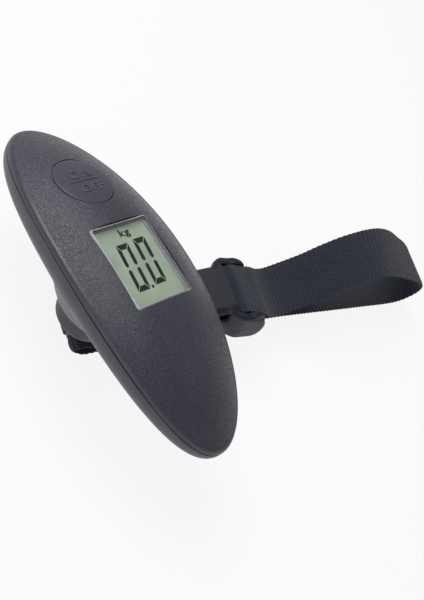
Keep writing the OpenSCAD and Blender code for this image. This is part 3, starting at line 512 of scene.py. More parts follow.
def hull_hollow():
    s = sizes()
    rings = [hull_ring(math.radians(f), s.wall) for f in (86, 74, 62, 50, 38, 26, 15, 6)]
    rings.append(ring(s.body_l / 2 - s.wall, s.body_w / 2 - s.wall, 2))
    return loft("hull_hollow", rings, (0, 0, -HALF_GAP - s.hull_d + s.wall), (0, 0, 2))


# Places and levels in the grip's frame
LOAD_X = -2.25
POD_R, POD_TOP_R, POD_MOUTH, POD_RISE, POD_SWELL, POD_BLEND = 12.6, 24.0, -22.3, 17.55, 0.6, 3.0
BORE_R, BORE_TOP, NECK_R = 11.1, -16.55, 5.5
WINDOW_X, WINDOW_L, WINDOW_W, WINDOW_R, LEDGE, RIM = -0.6, 30.0, 24.8, 1.2, 1.3, 1.3
LENS_TOP, LENS_BOT, PAD_BOT, PAD_TOP, LCD_BOT = 6.75, 3.5, 2.5, 5.38, 0.5
# Half the thickness of a dark segment
INK = 0.01
BUTTON_X, BUTTON_R, BUTTON_HOLE, BUTTON_CROWN, BUTTON_SKIRT = -33.75, 10.2, 10.35, 70.0, -0.84
DOOR_X, DOOR_R, DOOR_TOP = 35.75, 12.4, -13.95
COVER_SCREWS = ((-53.75, 0.0), (53.75, 0.0), (24.7, 15.0), (24.7, -15.0))
SCREW_BOSS, SCREW_HOLE, SCREW_HEAD, SCREW_SEAT = 3.1, 1.45, 2.25, 3.45
BEAM_BOSS = (-46.75, -29.25, 12.0, -12.0)
# Levels clear of the grip, for the tools that cut right through it
BELOW, ABOVE = -40, 20


def lower_height(x, y):
    """Height of the lower shell's outer face, the pod running softly out of the hull."""
    s = sizes()
    spread = np.minimum(1.0, np.sqrt((2 * x / s.body_l) ** 2 + (2 * y / s.body_w) ** 2))
    hull = arch(x) - HALF_GAP - s.hull_d * (1 - spread ** s.hull_pow) ** (1 / s.hull_pow)
    u = np.maximum(0.0, (np.hypot(x - LOAD_X, y) - POD_R) / (POD_TOP_R - POD_R))
    pod = POD_MOUTH + POD_RISE * u ** (1 / POD_SWELL)
    h = np.clip(0.5 + 0.5 * (hull - pod) / POD_BLEND, 0, 1)
    return hull * (1 - h) + pod * h - POD_BLEND * h * (1 - h)


def lower_skin():
    """The lower shell as rays from the load axis: bore, lip, pod, hull and the groove at the joint."""
    s = sizes()
    rays, steps = 380, 57
    t = around(rays)
    c, n = np.cos(t), np.sin(t)
    a, b = s.body_l / 2, s.body_w / 2
    qa, qb, qc = (c / a) ** 2 + (n / b) ** 2, 2 * LOAD_X * c / a ** 2, (LOAD_X / a) ** 2 - 1
    rim = (np.sqrt(qb ** 2 - 4 * qa * qc) - qb) / (2 * qa)

    def at(r, z):
        return polar(LOAD_X, r, t, z)

    rings = [at(BORE_R, BORE_TOP), at(BORE_R, POD_MOUTH + 0.4), at(BORE_R + 0.12, POD_MOUTH + 0.12),
             at(BORE_R + 0.4, POD_MOUTH), at(POD_R - 0.3, POD_MOUTH)]
    for j in range(steps):
        r = POD_R + (rim - POD_R) * (1 - (1 - j / steps) ** 2.2)
        rings.append(at(r, lower_height(LOAD_X + r * c, r * n)))
    rings.append(at(rim, arch(LOAD_X + rim * c) - HALF_GAP - s.groove * GROOVE_SHARE))
    inner = rim - s.groove
    rings.append(at(inner, arch(LOAD_X + inner * c) - HALF_GAP))
    return outward(loft("lower_skin", rings, (LOAD_X, 0, BORE_TOP), (LOAD_X, 0, -HALF_GAP)))


def rod(r, z0, z1, x, y=0.0, count=128):
    """An upright round bar in the grip's frame."""
    x, y, ends = GRIP.x + x, GRIP.y + y, (GRIP.z + z0, GRIP.z + z1)
    angles = [2 * math.pi * i / count for i in range(count)]
    sides = [(x + r * math.cos(t), y + r * math.sin(t), z) for z in ends for t in angles]
    return mesh_object("rod", [(x, y, ends[0]), *sides, (x, y, ends[1])], stack_faces(count, 2))


def drum(name, rings, uv=None):
    """A closed skin through rings, with a flat face at each end."""
    n, m = len(rings[0]), len(rings)
    faces = [tuple(range(n - 1, -1, -1)), tuple(range(n * (m - 1), n * m))]
    for k in range(m - 1):
        faces += [(k * n + i, k * n + (i + 1) % n, (k + 1) * n + (i + 1) % n, (k + 1) * n + i) for i in range(n)]
    return mesh_object(name, [p for r in rings for p in r], faces, uv)


def stacked(name, middle, sections, steps=8):
    """An upright block with round corners, through sections of length, width, radius and height."""
    rings = []
    for l, w, r, z in sections:
        rings.append([])
        for sx, sy, start in ((1, 1, 0), (-1, 1, 90), (-1, -1, 180), (1, -1, 270)):
            for k in range(steps + 1):
                t = math.radians(start + 90 * k / steps)
                rings[-1].append((GRIP.x + middle[0] + sx * (l / 2 - r) + r * math.cos(t),
                                  GRIP.y + middle[1] + sy * (w / 2 - r) + r * math.sin(t), GRIP.z + z))
    return drum(name, rings)


def block(name, middle, l, w, r, z0, z1):
    return stacked(name, middle, ((l, w, r, z0), (l, w, r, z1)))


class SCALE_OT_cover(bpy.types.Operator):
    """Smooth skin for the top cover, with its window and button hole"""
    bl_idname = "scale.cover"
    bl_label = "Top cover"

    def execute(self, context):
        at, l, w = (WINDOW_X, 0.0), WINDOW_L, WINDOW_W
        skin = cut(cover_skin(), cover_hollow())
        cut(skin, block("pad", at, l + 2 * RIM, w + 2 * RIM, WINDOW_R + 1, PAD_BOT, PAD_TOP), "UNION")
        cut(skin, block("window", at, l, w, WINDOW_R, LENS_BOT, ABOVE))
        cut(skin, block("opening", at, l - 2 * LEDGE, w - 2 * LEDGE, WINDOW_R, -5, ABOVE))
        cut(skin, rod(BUTTON_HOLE, -20, ABOVE, BUTTON_X))
        skin.name = "cover_skin"
        smooth(skin, 24)
        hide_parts("top_cover")
        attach(skin, "grip")
        return {"FINISHED"}


def seat(p):
    """Level of a cover screw's seat."""
    return float(lower_height(*p)) + SCREW_SEAT


class SCALE_OT_lower_shell(bpy.types.Operator):
    """Smooth skin for the lower shell, with the pod, the screw holes and the door's hole"""
    bl_idname = "scale.lower_shell"
    bl_label = "Lower shell"

    def execute(self, context):
        # What stands up inside the shell is kept out of its hollow
        hollow = hull_hollow()
        cut(hollow, rod(DOOR_R + 2.2, BELOW, DOOR_TOP + 1.2, DOOR_X))
        x0, x1, wide, top = BEAM_BOSS
        cut(hollow, block("boss", ((x0 + x1) / 2, 0), x1 - x0, wide, 0.3, BELOW, top))
        for p in COVER_SCREWS:
            cut(hollow, rod(SCREW_BOSS, BELOW, float(arch(p[0])) - HALF_GAP, *p, 48))
        skin = cut(lower_skin(), hollow)
        cut(skin, rod(NECK_R, -30, 5, LOAD_X))
        cut(skin, rod(DOOR_R + 0.2, BELOW, 5, DOOR_X))
        for p in COVER_SCREWS:
            cut(skin, rod(SCREW_HOLE, BELOW, 5, *p, 48))
            cut(skin, rod(SCREW_HEAD, BELOW, seat(p), *p, 48))
        skin.name = "lower_shell"
        smooth(skin, 48)
        paint(skin, "shell")
        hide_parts("bottom_cover")
        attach(skin, "grip")
        return {"FINISHED"}


class SCALE_OT_door(bpy.types.Operator):
    """Battery door that carries on the lower shell's curve, with its coin slot and lugs"""
    bl_idname = "scale.door"
    bl_label = "Battery door"

    def execute(self, context):
        t = around(160)

        def at(r, lift):
            return polar(DOOR_X, r, t, lower_height(DOOR_X + r * np.cos(t), r * np.sin(t)) + lift)

        rings = [at(r, 0.0) for r in (1, 3, 5, 7, 9, 10.5, 11.6)]
        rings += [at(DOOR_R - 0.3, 0.0), at(DOOR_R - 0.09, 0.09), at(DOOR_R, 0.3), polar(DOOR_X, DOOR_R, t, DOOR_TOP)]
        low = float(lower_height(DOOR_X, 0.0))
        door = loft("door_face", rings, (DOOR_X, 0, low), (DOOR_X, 0, DOOR_TOP))
        cut(door, block("coin", (DOOR_X, 0), 14.0, 2.0, 0.9, low - 5, low + 1.1))
        # The lugs reach out past the rim, and their feet are sunk in it
        foot, reach, thick = 11.8, 13.5, 0.8
        for side in (0, 180):
            arc = [math.radians(side + a) for a in np.linspace(-12, 12, 9)]
            rim = [(reach * math.cos(a), reach * math.sin(a)) for a in arc]
            rim += [(foot * math.cos(a), foot * math.sin(a)) for a in reversed(arc)]
            cut(door, outward(drum("lug", [[(GRIP.x + DOOR_X + x, GRIP.y + y, GRIP.z + z) for x, y in rim]
                                           for z in (DOOR_TOP - thick, DOOR_TOP)])), "UNION")
        door.name = "door_face"
        smooth(door, 26)
        paint(door, "shell")
        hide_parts("battery_door")
        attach(door, "door")
        return {"FINISHED"}


class SCALE_OT_display(bpy.types.Operator):
    """Lens, display glass and the segments that show"""
    bl_idname = "scale.display"
    bl_label = "Display"

    def execute(self, context):
        s = context.scene.scale_display
        l, w = WINDOW_L, WINDOW_W
        # Length, width and corner radius of the ledge's opening, and of each piece that lies in the window
        opening, side = (l - 2 * LEDGE - 0.1, w - 2 * LEDGE - 0.1, 1.15), (l - 0.2, w - 0.2, 1.1)
        crest, back = (l - 1.1, w - 1.1, 0.8), (l - 0.8, w - 0.8, 0.3)
        # The lens clears the ledge by a hair, so that the two faces don't lie in one plane
        foot, shoulder = LENS_BOT + 0.04, LENS_TOP - 0.45
        lens = stacked("lens_moulding", (WINDOW_X, 0), (
            (*opening, foot), (*side, foot), (*side, shoulder), (*crest, LENS_TOP)))
        modify(lens, "BEVEL", width=0.12 * MM, segments=2, limit_method="ANGLE")
        smooth(settle(lens), 40)
        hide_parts("display_lens")
        # The sides and the border on the ledge are painted grey: the border partly a printed border, and both painted
        # light seen through the lens's edge; the bevel is painted paler still, a painted glint
        paint(lens, "lens", "lens_side_print_and_light", "lens_bevel_glint")
        for part in lens.data.polygons:
            clear = abs(part.normal.z) > 0.95 and len(part.vertices) > 8
            part.material_index = 0 if clear else 2 if part.normal.z > 0.2 else 1
        # Light that falls on the display goes straight through the clear lens
        lens.visible_shadow = False
        lens.visible_diffuse = False
        # The front glass stands up into the ledge's opening, just under the lens
        step, face = PAD_BOT - 0.02, LENS_BOT - 0.05
        glass = stacked("display_glass", (WINDOW_X, 0), (
            (*back, LCD_BOT), (*back, step), (*opening, step), (*opening, face)))
        paint(smooth(glass, 30), "lcd")
        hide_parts("lcd_panel")
        up = GRIP.z + face + 0.015
        verts, faces = [], []

        def patch(points):
            first = len(verts)
            verts.extend((GRIP.x + x, GRIP.y + y, up) for y, x in points)
            faces.append(tuple(range(first, first + len(points))))

        def nought(y0, top):
            """Six segments with a fine gap where they meet."""
            w, h, k, g = s.digit_w, s.digit_h, s.stroke, 0.16
            bar, mid = k * 1.35, h / 2

            def place(points):
                patch([(y0 + y - s.slant * x / h, top + x) for y, x in points])

            place([(g, 0), (w - g, 0), (w - k - g * 0.5, bar), (k + g * 0.5, bar)])
            place([(k + g * 0.5, h - bar), (w - k - g * 0.5, h - bar), (w - g, h), (g, h)])
            for a, b, start, end in ((0, mid, bar, k * 0.55), (mid, h, k * 0.55, bar)):
                a, b = a + g * 1.6, b - g * 1.6
                # The ends at the waist come to a point in the middle of the stroke
                ends_a = [(0, a), (k, a + start)] if start == bar else [(0, a + start), (k / 2, a), (k, a + start)]
                ends_b = [(k, b - end), (0, b)] if end == bar else [(k, b - end), (k / 2, b), (0, b - end)]
                place(ends_a + ends_b)
                place([(w - y, x) for y, x in reversed(ends_a + ends_b)])

        nought(-4.85, -8.35)
        nought(2.8, -8.8)
        patch([(-0.75, 7.6), (0.2, 7.6), (0.1, 8.6), (-0.85, 8.6)])
        digits = mesh_object("display_digits", verts, faces)
        modify(digits, "SOLIDIFY", thickness=2 * INK * MM, offset=0.0)
        outward(settle(digits))
        unit = words("display_unit", "kg", 3.5, (GRIP.x - 10.8, 1.35, up), 1.25, INK, 0.12, spacing=1.2)
        for piece in (lens, glass, digits, unit):
            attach(piece, "grip")
        paint(digits, "ink")
        paint(unit, "ink")
        return {"FINISHED"}


def words(name, text, height, at, wide, depth, weight, edge=0.0, spacing=1.0):
    """Plain lettering as a mesh, centred, its foot towards the reader."""
    curve = bpy.data.curves.new(name, "FONT")
    curve.body = text
    curve.size = height * MM
    curve.align_x = "CENTER"
    curve.align_y = "BOTTOM_BASELINE"
    curve.extrude = depth * MM
    curve.offset = weight * MM
    curve.bevel_depth = edge * MM
    curve.space_character = spacing
    curve.bevel_resolution = 1
    curve.resolution_u = 4
    made = placed(name, curve)
    made.matrix_world = (Matrix.Translation(Vector(at) * MM) @ Matrix.Rotation(math.radians(90), 4, "Z")
                         @ Matrix.Diagonal((wide, 1, 1, 1)))
    bpy.context.view_layer.update()
    return settle(made)


# The raised letters: half their depth, the round of their edges, and how far they are sunk
LETTER_DEEP, LETTER_SOFT, LETTER_SUNK = 0.5, 0.14, 0.36


def letter_bar(length, width):
    """The line between the two words, cut in short lengths so that it can follow the crown."""
    steps, half, soft, deep = 12, width / 2, LETTER_SOFT, LETTER_DEEP
    rings = []
    for k in range(steps + 1):
        y = length * (k / steps - 0.5)
        rings.append([(-half, y, -deep), (half, y, -deep), (half, y, deep),
                      (half - soft, y, deep + soft), (soft - half, y, deep + soft), (-half, y, deep)])
    return outward(drum("bar", rings))


class SCALE_OT_button(bpy.types.Operator):
    """Crowned button cap with its raised lettering"""
    bl_idname = "scale.button"
    bl_label = "Button"

    def execute(self, context):
        lean = math.atan((cover_height(BUTTON_X + 1, 0) - cover_height(BUTTON_X - 1, 0)) / 2)
        top = cover_height(BUTTON_X, 0) + 0.2
        mid_x, mid_z = BUTTON_CROWN * math.sin(lean), top - BUTTON_CROWN * math.cos(lean)

        def face(x, y, drop=0.0):
            """Height of the crowned face, x and y from the button's middle."""
            return mid_z + np.sqrt((BUTTON_CROWN - drop) ** 2 - (x - mid_x) ** 2 - y ** 2)

        edge, inner, wall = 0.3, BUTTON_R - 1.2, 1.8
        t = around(160)

        def at(r, drop=0.0, lift=0.0):
            return polar(BUTTON_X, r, t, face(r * np.cos(t), r * np.sin(t), drop) + lift)

        rings = [at(r, wall) for r in (2.5, 5, 7.5, inner - 0.3)] + [at(inner, wall, -0.3)]
        rings += [polar(BUTTON_X, r, t, BUTTON_SKIRT) for r in (inner, BUTTON_R)]
        for f in (90, 72, 54, 36, 18, 0):
            f = math.radians(f)
            rings.append(at(BUTTON_R - edge + edge * math.sin(f), 0.0, -edge * (1 - math.cos(f))))
        rings += [at(r) for r in (9.0, 8.0, 6.5, 5.0, 3.5, 2.0, 0.8)]
        cap = outward(loft("cap", rings, (BUTTON_X, 0, float(face(0.0, 0.0, wall))), (BUTTON_X, 0, top)))
        tabs = [block("tab", (BUTTON_X + 2.5, side * 10.35), 5.0, 1.9, 0.2, BUTTON_SKIRT, BUTTON_SKIRT + 1)
                for side in (-1, 1)]
        boss = rod(2.5, 1.5, 3.2, BUTTON_X, count=48)
        cap = join("button_face", [cap, boss, *tabs])
        smooth(cap, 30)
        paint(cap, "button")
        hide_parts("button_cap")

        # The letters follow the crown: their feet are sunk in it
        signs = [letter_bar(11.2, 0.55)]
        for text, x, y, size, wide in (("ON", -1.15, 0.1, 5.0, 1.05), ("OFF", 4.9, 0.6, 4.4, 1.24)):
            signs.append(words("letters_" + text.lower(), text, size, (x, y, 0), wide, LETTER_DEEP, -0.1, LETTER_SOFT))
        raised = join("button_letters", signs)
        for v in raised.data.vertices:
            x, y, z = v.co / MM
            up = face(x, y) + max(-0.2, z - LETTER_SUNK)
            v.co = Vector((GRIP.x + BUTTON_X + x, GRIP.y + y, GRIP.z + up)) * MM
        smooth(raised, 25)
        # The letters are painted lighter than the cap, a painted highlight on their raised edges
        paint(raised, "letters")
        for piece in (cap, raised):
            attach(piece, "button")
        return {"FINISHED"}


class SCALE_OT_stem(bpy.types.Operator):
    """Stem, pin, screws and the pieces inside the grip"""
    bl_idname = "scale.stem"
    bl_label = "Stem and inner pieces"

    def execute(self, context):
        stem = even(soften("stem", "stem_casting", 0.3))
        paint(stem, "stem")
        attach(stem, "swivel")
        finishes = {
            "cross_pin": "pin", "load_bolt": "steel", "thrust_washer": "steel",
            "beam_screws": "steel", "cover_screws": "steel", "board_screws": "steel",
            "load_beam": "aluminium", "strain_gauges": "gauge", "coin_cell": "cell",
            "battery_contact_plus": "contact", "battery_contact_minus": "contact",
            "battery_holder": "black", "lcd_frame": "white", "elastomer_strips": "elastomer",
            "circuit_board": "board", "chip_cover": "resin", "tact_switch": "black",
            "switch_plunger": "plunger",
        }
        for node, key in finishes.items():
            paint(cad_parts[node], key)
        return {"FINISHED"}


# A cheek of the socket seen from the side: along the buckle and up, in the buckle's frame
CHEEK = [
    (57.2, 3.9), (60.5, 3.1), (65.0, 0.8), (69.0, -1.4), (72.0, -4.0), (73.8, -8.0), (73.9, -12.4),
    (72.6, -15.6), (70.0, -16.6), (66.5, -15.6), (62.5, -14.2), (59.0, -12.7), (55.5, -10.6), (52.6, -7.8),
    (51.6, -4.8), (52.6, -3.2), (55.6, -2.9), (57.2, -1.6), (57.4, 1.2),
]
CHEEK_MID, CHEEK_IN, CHEEK_OUT, CHEEK_FLARE = (65.5, -7.0), 10.45, 13.7, (54.5, 62.5)


def buckle_turn(size):
    """From the buckle's own frame to the part's."""
    return Matrix.Rotation(-STRAP_YAW, size, "Z") @ Matrix.Rotation(BUCKLE_TILT, size, "X")


def cheek(side):
    """One round cheek: it flares out of the sleeve, and its face turns softly into its rim."""
    p = np.array(CHEEK)
    rim, mid = spline(np.vstack([p[-1:], p, p[:2]]), 8), np.array(CHEEK_MID)
    rings = []
    for grow, out in ((0.97, 0.0), (1.0, 0.12), (1.0, 0.5), (0.985, 0.72), (0.95, 0.87), (0.89, 0.96), (0.78, 1.0),
                      (0.5, 1.02), (0.2, 1.03)):
        flat = mid + (rim - mid) * grow
        w = np.clip((flat[:, 0] - CHEEK_FLARE[0]) / (CHEEK_FLARE[1] - CHEEK_FLARE[0]), 0, 1)
        ease = w * w * (3 - 2 * w)
        # In front of the strap's channel the cheek runs into the sleeve's wall
        inner = CHEEK_IN - 1.0 * np.clip((58.0 - flat[:, 0]) / 1.5, 0, 1)
        outer = CHEEK_IN + (CHEEK_OUT - CHEEK_IN) * ease
        rings.append(np.column_stack([side * (inner + (outer - inner) * out), flat]))
    ends = [np.array((side * CHEEK_IN, *mid)), np.array((side * (CHEEK_OUT + 0.1), *mid))]
    verts = np.vstack([ends[0][None], *rings, ends[1][None]]) @ np.array(buckle_turn(3)).T
    return outward(mesh_object("cheek", verts, stack_faces(len(rim), len(rings))))


def rounded(obj, cell, passes):
    """Rounds all edges of a moulding, crossing ones too: a fine even mesh in the buckle's own frame, smoothed."""
    turn = buckle_turn(4)
    obj.data.transform(turn.inverted())
    modify(obj, "REMESH", mode="VOXEL", voxel_size=cell * MM)
    modify(obj, "SMOOTH", factor=0.5, iterations=passes)
    settle(obj).data.transform(turn)
    return obj


class SCALE_OT_buckle(bpy.types.Operator):
    """Buckle mouldings with rounded edges"""
    bl_idname = "scale.buckle"
    bl_label = "Buckle"

    def execute(self, context):
        for node, name, width, body in (
            ("buckle_socket", "socket_moulding", 0.6, "socket"),
            ("buckle_tongue", "tongue_moulding", 0.5, "tongue"),
            ("latch_arm_left", "latch_moulding_left", 0.3, "arm_left"),
            ("latch_arm_right", "latch_moulding_right", 0.3, "arm_right"),
        ):
            piece = soften(node, name, width)
            if node == "buckle_socket":
                for side in (-1, 1):
                    cut(piece, cheek(side), "UNION")
                smooth(rounded(piece, 0.35, 5), 50.0)
            even(piece)
            paint(piece, "buckle")
            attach(piece, body)
        return {"FINISHED"}


# The webbing's route: along the strap, across it and up, then its roll in degrees

LOWER_RUN = [
    (40, -0.6, 3, 0), (62, -2, 5.2, 0), (85, -4, 6, 0), (107, -5.5, 4.6, 0),
    (126, -6.6, 3.3, 0), (146, -7.7, 2.2, 0), (164, -8.5, 1.6, 0),
]
FAR_FOLD = [(173, -8.9, 3, 0), (177.5, -9, 8, 0), (177, -9, 13.5, 0), (171.5, -8.8, 18.8, 4)]
UPPER_RUN = [
    (158, -8, 25.4, 9), (143, -7, 31.8, 17), (130.5, -6, 34.6, 20), (118, -5, 32, 28),
    (109.5, -4.3, 27.2, 32), (101.5, -3.6, 20.6, 30), (92.7, -2.8, 15.6, 22), (84.5, -1.6, 13.6, 12),
]
PIN_R, BAR_R, LAY_GAP = 2.0, 1.6, 0.2
# Half of the slit for the stem's ears; the loop round the pin, how far its selvedges draw in, and its pull
SLIT, LOOP_R, LOOP_DRAW, LOOP_PULL = 4.15, 2.85, 1.4, (0.62, 0.78)
BAR = (64.0, -1.2)
# Where the slit ends along the strap and where the seam begins; the lengths of webbing by the pin and by the bar
SLIT_END, SEAM_FROM, PIN_PART, BAR_PART = 14.0, 21.0, 80, 26
# The ribs' roundness; the selvedges: how much thinner, how wide, and how far they swell at a rib
RIB_ROUND, EDGE_THIN, EDGE_WIDE, EDGE_SWELL = 0.7, 0.35, 1.2, 0.22


def bend(mid, r, degrees):
    """Points of the route round a bar."""
    return [(mid[0] + r * math.cos(math.radians(a)), 0, mid[1] + r * math.sin(math.radians(a)), 0) for a in degrees]


def strap_route():
    """The webbing's middle line, from the end sewn at the pin to the end sewn at the bar."""
    s = bpy.context.scene.scale_strap
    pin = PIN_R + LAY_GAP + s.thickness / 2
    bar = BAR_R + LAY_GAP + s.thickness / 2
    layer = (s.thickness + LAY_GAP) / 2
    c, n = math.cos(BUCKLE_TILT), math.sin(BUCKLE_TILT)
    mid = (BAR[0] * c - BAR[1] * n, BAR[0] * n + BAR[1] * c)
    # The height at which the two layers leave the pin
    leave = pin * 0.82
    points = [(28, -0.2, 1.95 + layer, 0), (21, 0, 0.75 + layer, 0), (15, 0, layer, 0),
              (9, 0, layer + 0.2, 0), (4, 0, leave, 0)]
    points += bend((0, 0), pin, range(85, 276, 38))
    points += [(4, 0, -leave, 0), (9, 0, -layer - 0.2, 0), (15, 0, -layer, 0),
               (21, 0, 0.75 - layer, 0), (28, -0.2, 1.95 - layer, 0)]
    points += LOWER_RUN + FAR_FOLD + UPPER_RUN
    points.append((mid[0] + 16.5, -0.4, mid[1] - 3.6, 8))
    # It comes down to the bar at about 15 degrees
    dip, reach = 0.26, 0.966
    for t in (11.5, 6):
        points.append((mid[0] + dip * bar + t * reach, 0, mid[1] + bar * reach - t * dip, t / 2 - 2))
    points += bend(mid, bar, range(76, 257, 36))
    points += [(mid[0] + 5, 0, mid[1] - bar - 0.2, 0), (mid[0] + 9.5, 0, mid[1] - 2.1, 0),
               (mid[0] + 13, 0, mid[1] - 2.7, 0)]
    return np.array(points, float)


def strap_line(step=0.2):
    """The route as a smooth line with a point every step millimetres."""
    p = strap_route()
    dense = np.vstack([spline(np.vstack([p[0], p, p[-1]]), 40), p[-1:]])
    run = np.concatenate([[0], np.cumsum(np.linalg.norm(np.diff(dense[:, :3], axis=0), axis=1))])
    at = np.arange(0, run[-1], step)
    return at, np.stack([np.interp(at, run, dense[:, k]) for k in range(4)], 1)


def strap_frames(line):
    """Place, across and normal directions along the line, in the part's frame, in millimetres."""
    y, x, z, roll = line[:, 0], line[:, 1], line[:, 2], np.radians(line[:, 3])
    c = np.stack([x, y, z], 1)
    t = np.gradient(c, axis=0)
    t /= np.linalg.norm(t, axis=1)[:, None]
    b = np.stack([np.cos(roll), np.zeros_like(roll), -np.sin(roll)], 1)
    b -= (b * t).sum(1)[:, None] * t
    b /= np.linalg.norm(b, axis=1)[:, None]
    n = np.cross(b, t)
    turn = np.array(Matrix.Rotation(-STRAP_YAW, 3, "Z"))
    return c @ turn.T, b @ turn.T, n @ turn.T


def web_strip(name, at, line, frames, first, last, u0, u1):
    """Ribbed webbing between two stations, from u0 to u1 across."""
    s = bpy.context.scene.scale_strap
    c, b, n = (f[first:last] for f in frames)
    v = at[first:last]
    rib = np.abs(np.sin(np.pi * v / s.rib_pitch)) ** RIB_ROUND
    # Pulled tight round the pin, the webbing draws in at its selvedges
    under = np.clip(-(line[first:last, [0, 2]] * LOOP_PULL).sum(1) / LOOP_R, 0, 1) ** 2
    across = np.linspace(u0, u1, max(4, int((u1 - u0) / 1.6) + 1))
    # The selvedges are thinner, and swell out at each rib
    thin = EDGE_THIN * np.maximum(0.0, 1 - np.minimum(across - u0, u1 - across) / EDGE_WIDE) ** 2
    rows, marks = [], []
    for side in (1, -1):
        for k in range(len(across))[::side]:
            edge = 1 if k == len(across) - 1 else -1 if k == 0 else 0
            swell = EDGE_SWELL * (rib - 0.6) * (1 - 0.8 * under) * edge
            draw = math.copysign(max(0.0, abs(across[k]) - SLIT) / (s.width / 2 - SLIT), across[k])
            h = side * (s.thickness / 2 - s.rib_depth * (1 - rib) * (1 - 0.7 * under) - thin[k])
            rows.append(c + b * (across[k] + swell - LOOP_DRAW * under * draw)[:, None] + n * h[:, None])
            marks.append(np.stack([np.full_like(v, across[k]), v], 1))
    return drum(name, np.stack(rows, 1), np.stack(marks, 1).reshape(-1, 2))


class SCALE_OT_strap(bpy.types.Operator):
    """Ribbed webbing, slit round the stem's ears, sewn round the pin and round the socket's bar"""
    bl_idname = "scale.strap"
    bl_label = "Strap"

    def execute(self, context):
        s = context.scene.scale_strap
        at, line = strap_line()
        frames = strap_frames(line)
        half = s.width / 2
        near = np.where((line[:, 0] < SLIT_END) & (at < PIN_PART))[0]
        first, last = near[0], near[-1] + 1
        strips = [web_strip(name, at, line, frames, *part) for name, *part in (
            ("tail", 0, first + 1, -half, half), ("leg_a", first, last, -half, -SLIT),
            ("leg_b", first, last, SLIT, half), ("web", last - 1, len(at), -half, half))]
        webbing = join("webbing", strips)
        smooth(outward(webbing), 60)
        paint(webbing, "webbing")
        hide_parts("strap")
        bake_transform(webbing)
        return {"FINISHED"}


def stitch_tree():
    """Sets one small thread capsule after another along the lines that it is given."""
    tree = bpy.data.node_groups.new("stitch_rows", "GeometryNodeTree")
    sockets = {}
    for name, kind in (("Lines", "Geometry"), ("Pitch", "Float"), ("Length", "Float"), ("Thread", "Float"),
                       ("Material", "Material")):
        made = tree.interface.new_socket(name, in_out="INPUT", socket_type="NodeSocket" + kind)
        sockets[name] = made.identifier
    tree.interface.new_socket("Stitches", in_out="OUTPUT", socket_type="NodeSocketGeometry")
    given = add(tree, "NodeGroupInput").outputs
    curve = add(tree, "GeometryNodeMeshToCurve", {0: given["Lines"]})
    even = add(tree, "GeometryNodeResampleCurve", {"Curve": curve, "Length": given["Pitch"]}, mode="LENGTH")
    tangent = add(tree, "GeometryNodeInputTangent")
    turn = add(tree, "FunctionNodeAlignEulerToVector", {"Vector": tangent}, axis="Z")
    ball = add(tree, "GeometryNodeMeshUVSphere", {"Segments": 8, "Rings": 6, "Radius": 0.5})
    size = add(tree, "ShaderNodeCombineXYZ", {0: given["Thread"], 1: given["Thread"], 2: given["Length"]})
    spread = add(tree, "GeometryNodeInstanceOnPoints",
                 {"Points": even, "Instance": ball, "Rotation": turn, "Scale": size})
    real = add(tree, "GeometryNodeRealizeInstances", {0: spread})
    dressed = add(tree, "GeometryNodeSetMaterial", {"Geometry": real, "Material": given["Material"]})
    add(tree, "NodeGroupOutput", {0: dressed})
    return tree, sockets


class SCALE_OT_stitching(bpy.types.Operator):
    """Rows of stitches that hold the webbing's two ends"""
    bl_idname = "scale.stitching"
    bl_label = "Stitching"

    def execute(self, context):
        s = context.scene.scale_strap
        at, line = strap_line()
        c, b, n = strap_frames(line)
        total, reach = at[-1], s.width / 2 - 1.5
        lift = s.thickness / 2 - 0.05
        # Distances of the rows along the webbing; two lie over those at the bar's end
        pin_far = at[np.where((line[:, 0] < SEAM_FROM) & (at < PIN_PART))[0][-1]]
        ends = (1.6, 4.4)
        bar_end = np.where(at > total - BAR_PART)[0]
        rows = [3.0, 6.0, 10.0, pin_far + 4.2, pin_far + 1.2, pin_far - 3.0, *(total - d for d in ends)]
        for d in ends:
            away = c[bar_end][:60] - c[np.argmin(np.abs(at - total + d))]
            rows.append(at[bar_end[np.argmin(np.linalg.norm(away, axis=1))]])
        verts, edges = [], []
        marks = np.linspace(-reach, reach, 12)
        for where in rows:
            k, first = int(np.argmin(np.abs(at - where))), len(verts)
            verts += [c[k] + b[k] * u + n[k] * lift for u in marks]
            edges += [(first + i, first + i + 1) for i in range(len(marks) - 1)]
        made = mesh_object("stitching", verts, [], edges=edges)
        tree, sockets = stitch_tree()
        step = modify(made, "NODES", node_group=tree)
        for name, value in (("Pitch", (s.stitch_l + 0.4) * MM), ("Length", s.stitch_l * MM),
                            ("Thread", s.thread * MM), ("Material", finish_of("thread"))):
            step[sockets[name]] = value
        settle(made)
        made.data.shade_smooth()
        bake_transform(made)
        return {"FINISHED"}


def seen_rays(tree):
    """Rays straight from the eye, and rays that see the background in a gloss or through glass."""
    path = add(tree, "ShaderNodeLightPath").outputs
    gloss = add(tree, "ShaderNodeMath", {0: path["Is Glossy Ray"], 1: path["Is Transmission Ray"]},
                operation="MAXIMUM")
    return path["Is Camera Ray"], gloss


# The share of the floor that is plain white to the eye; the rest is lit paper, which shows the shadow
FLOOR_WHITE = 0.88


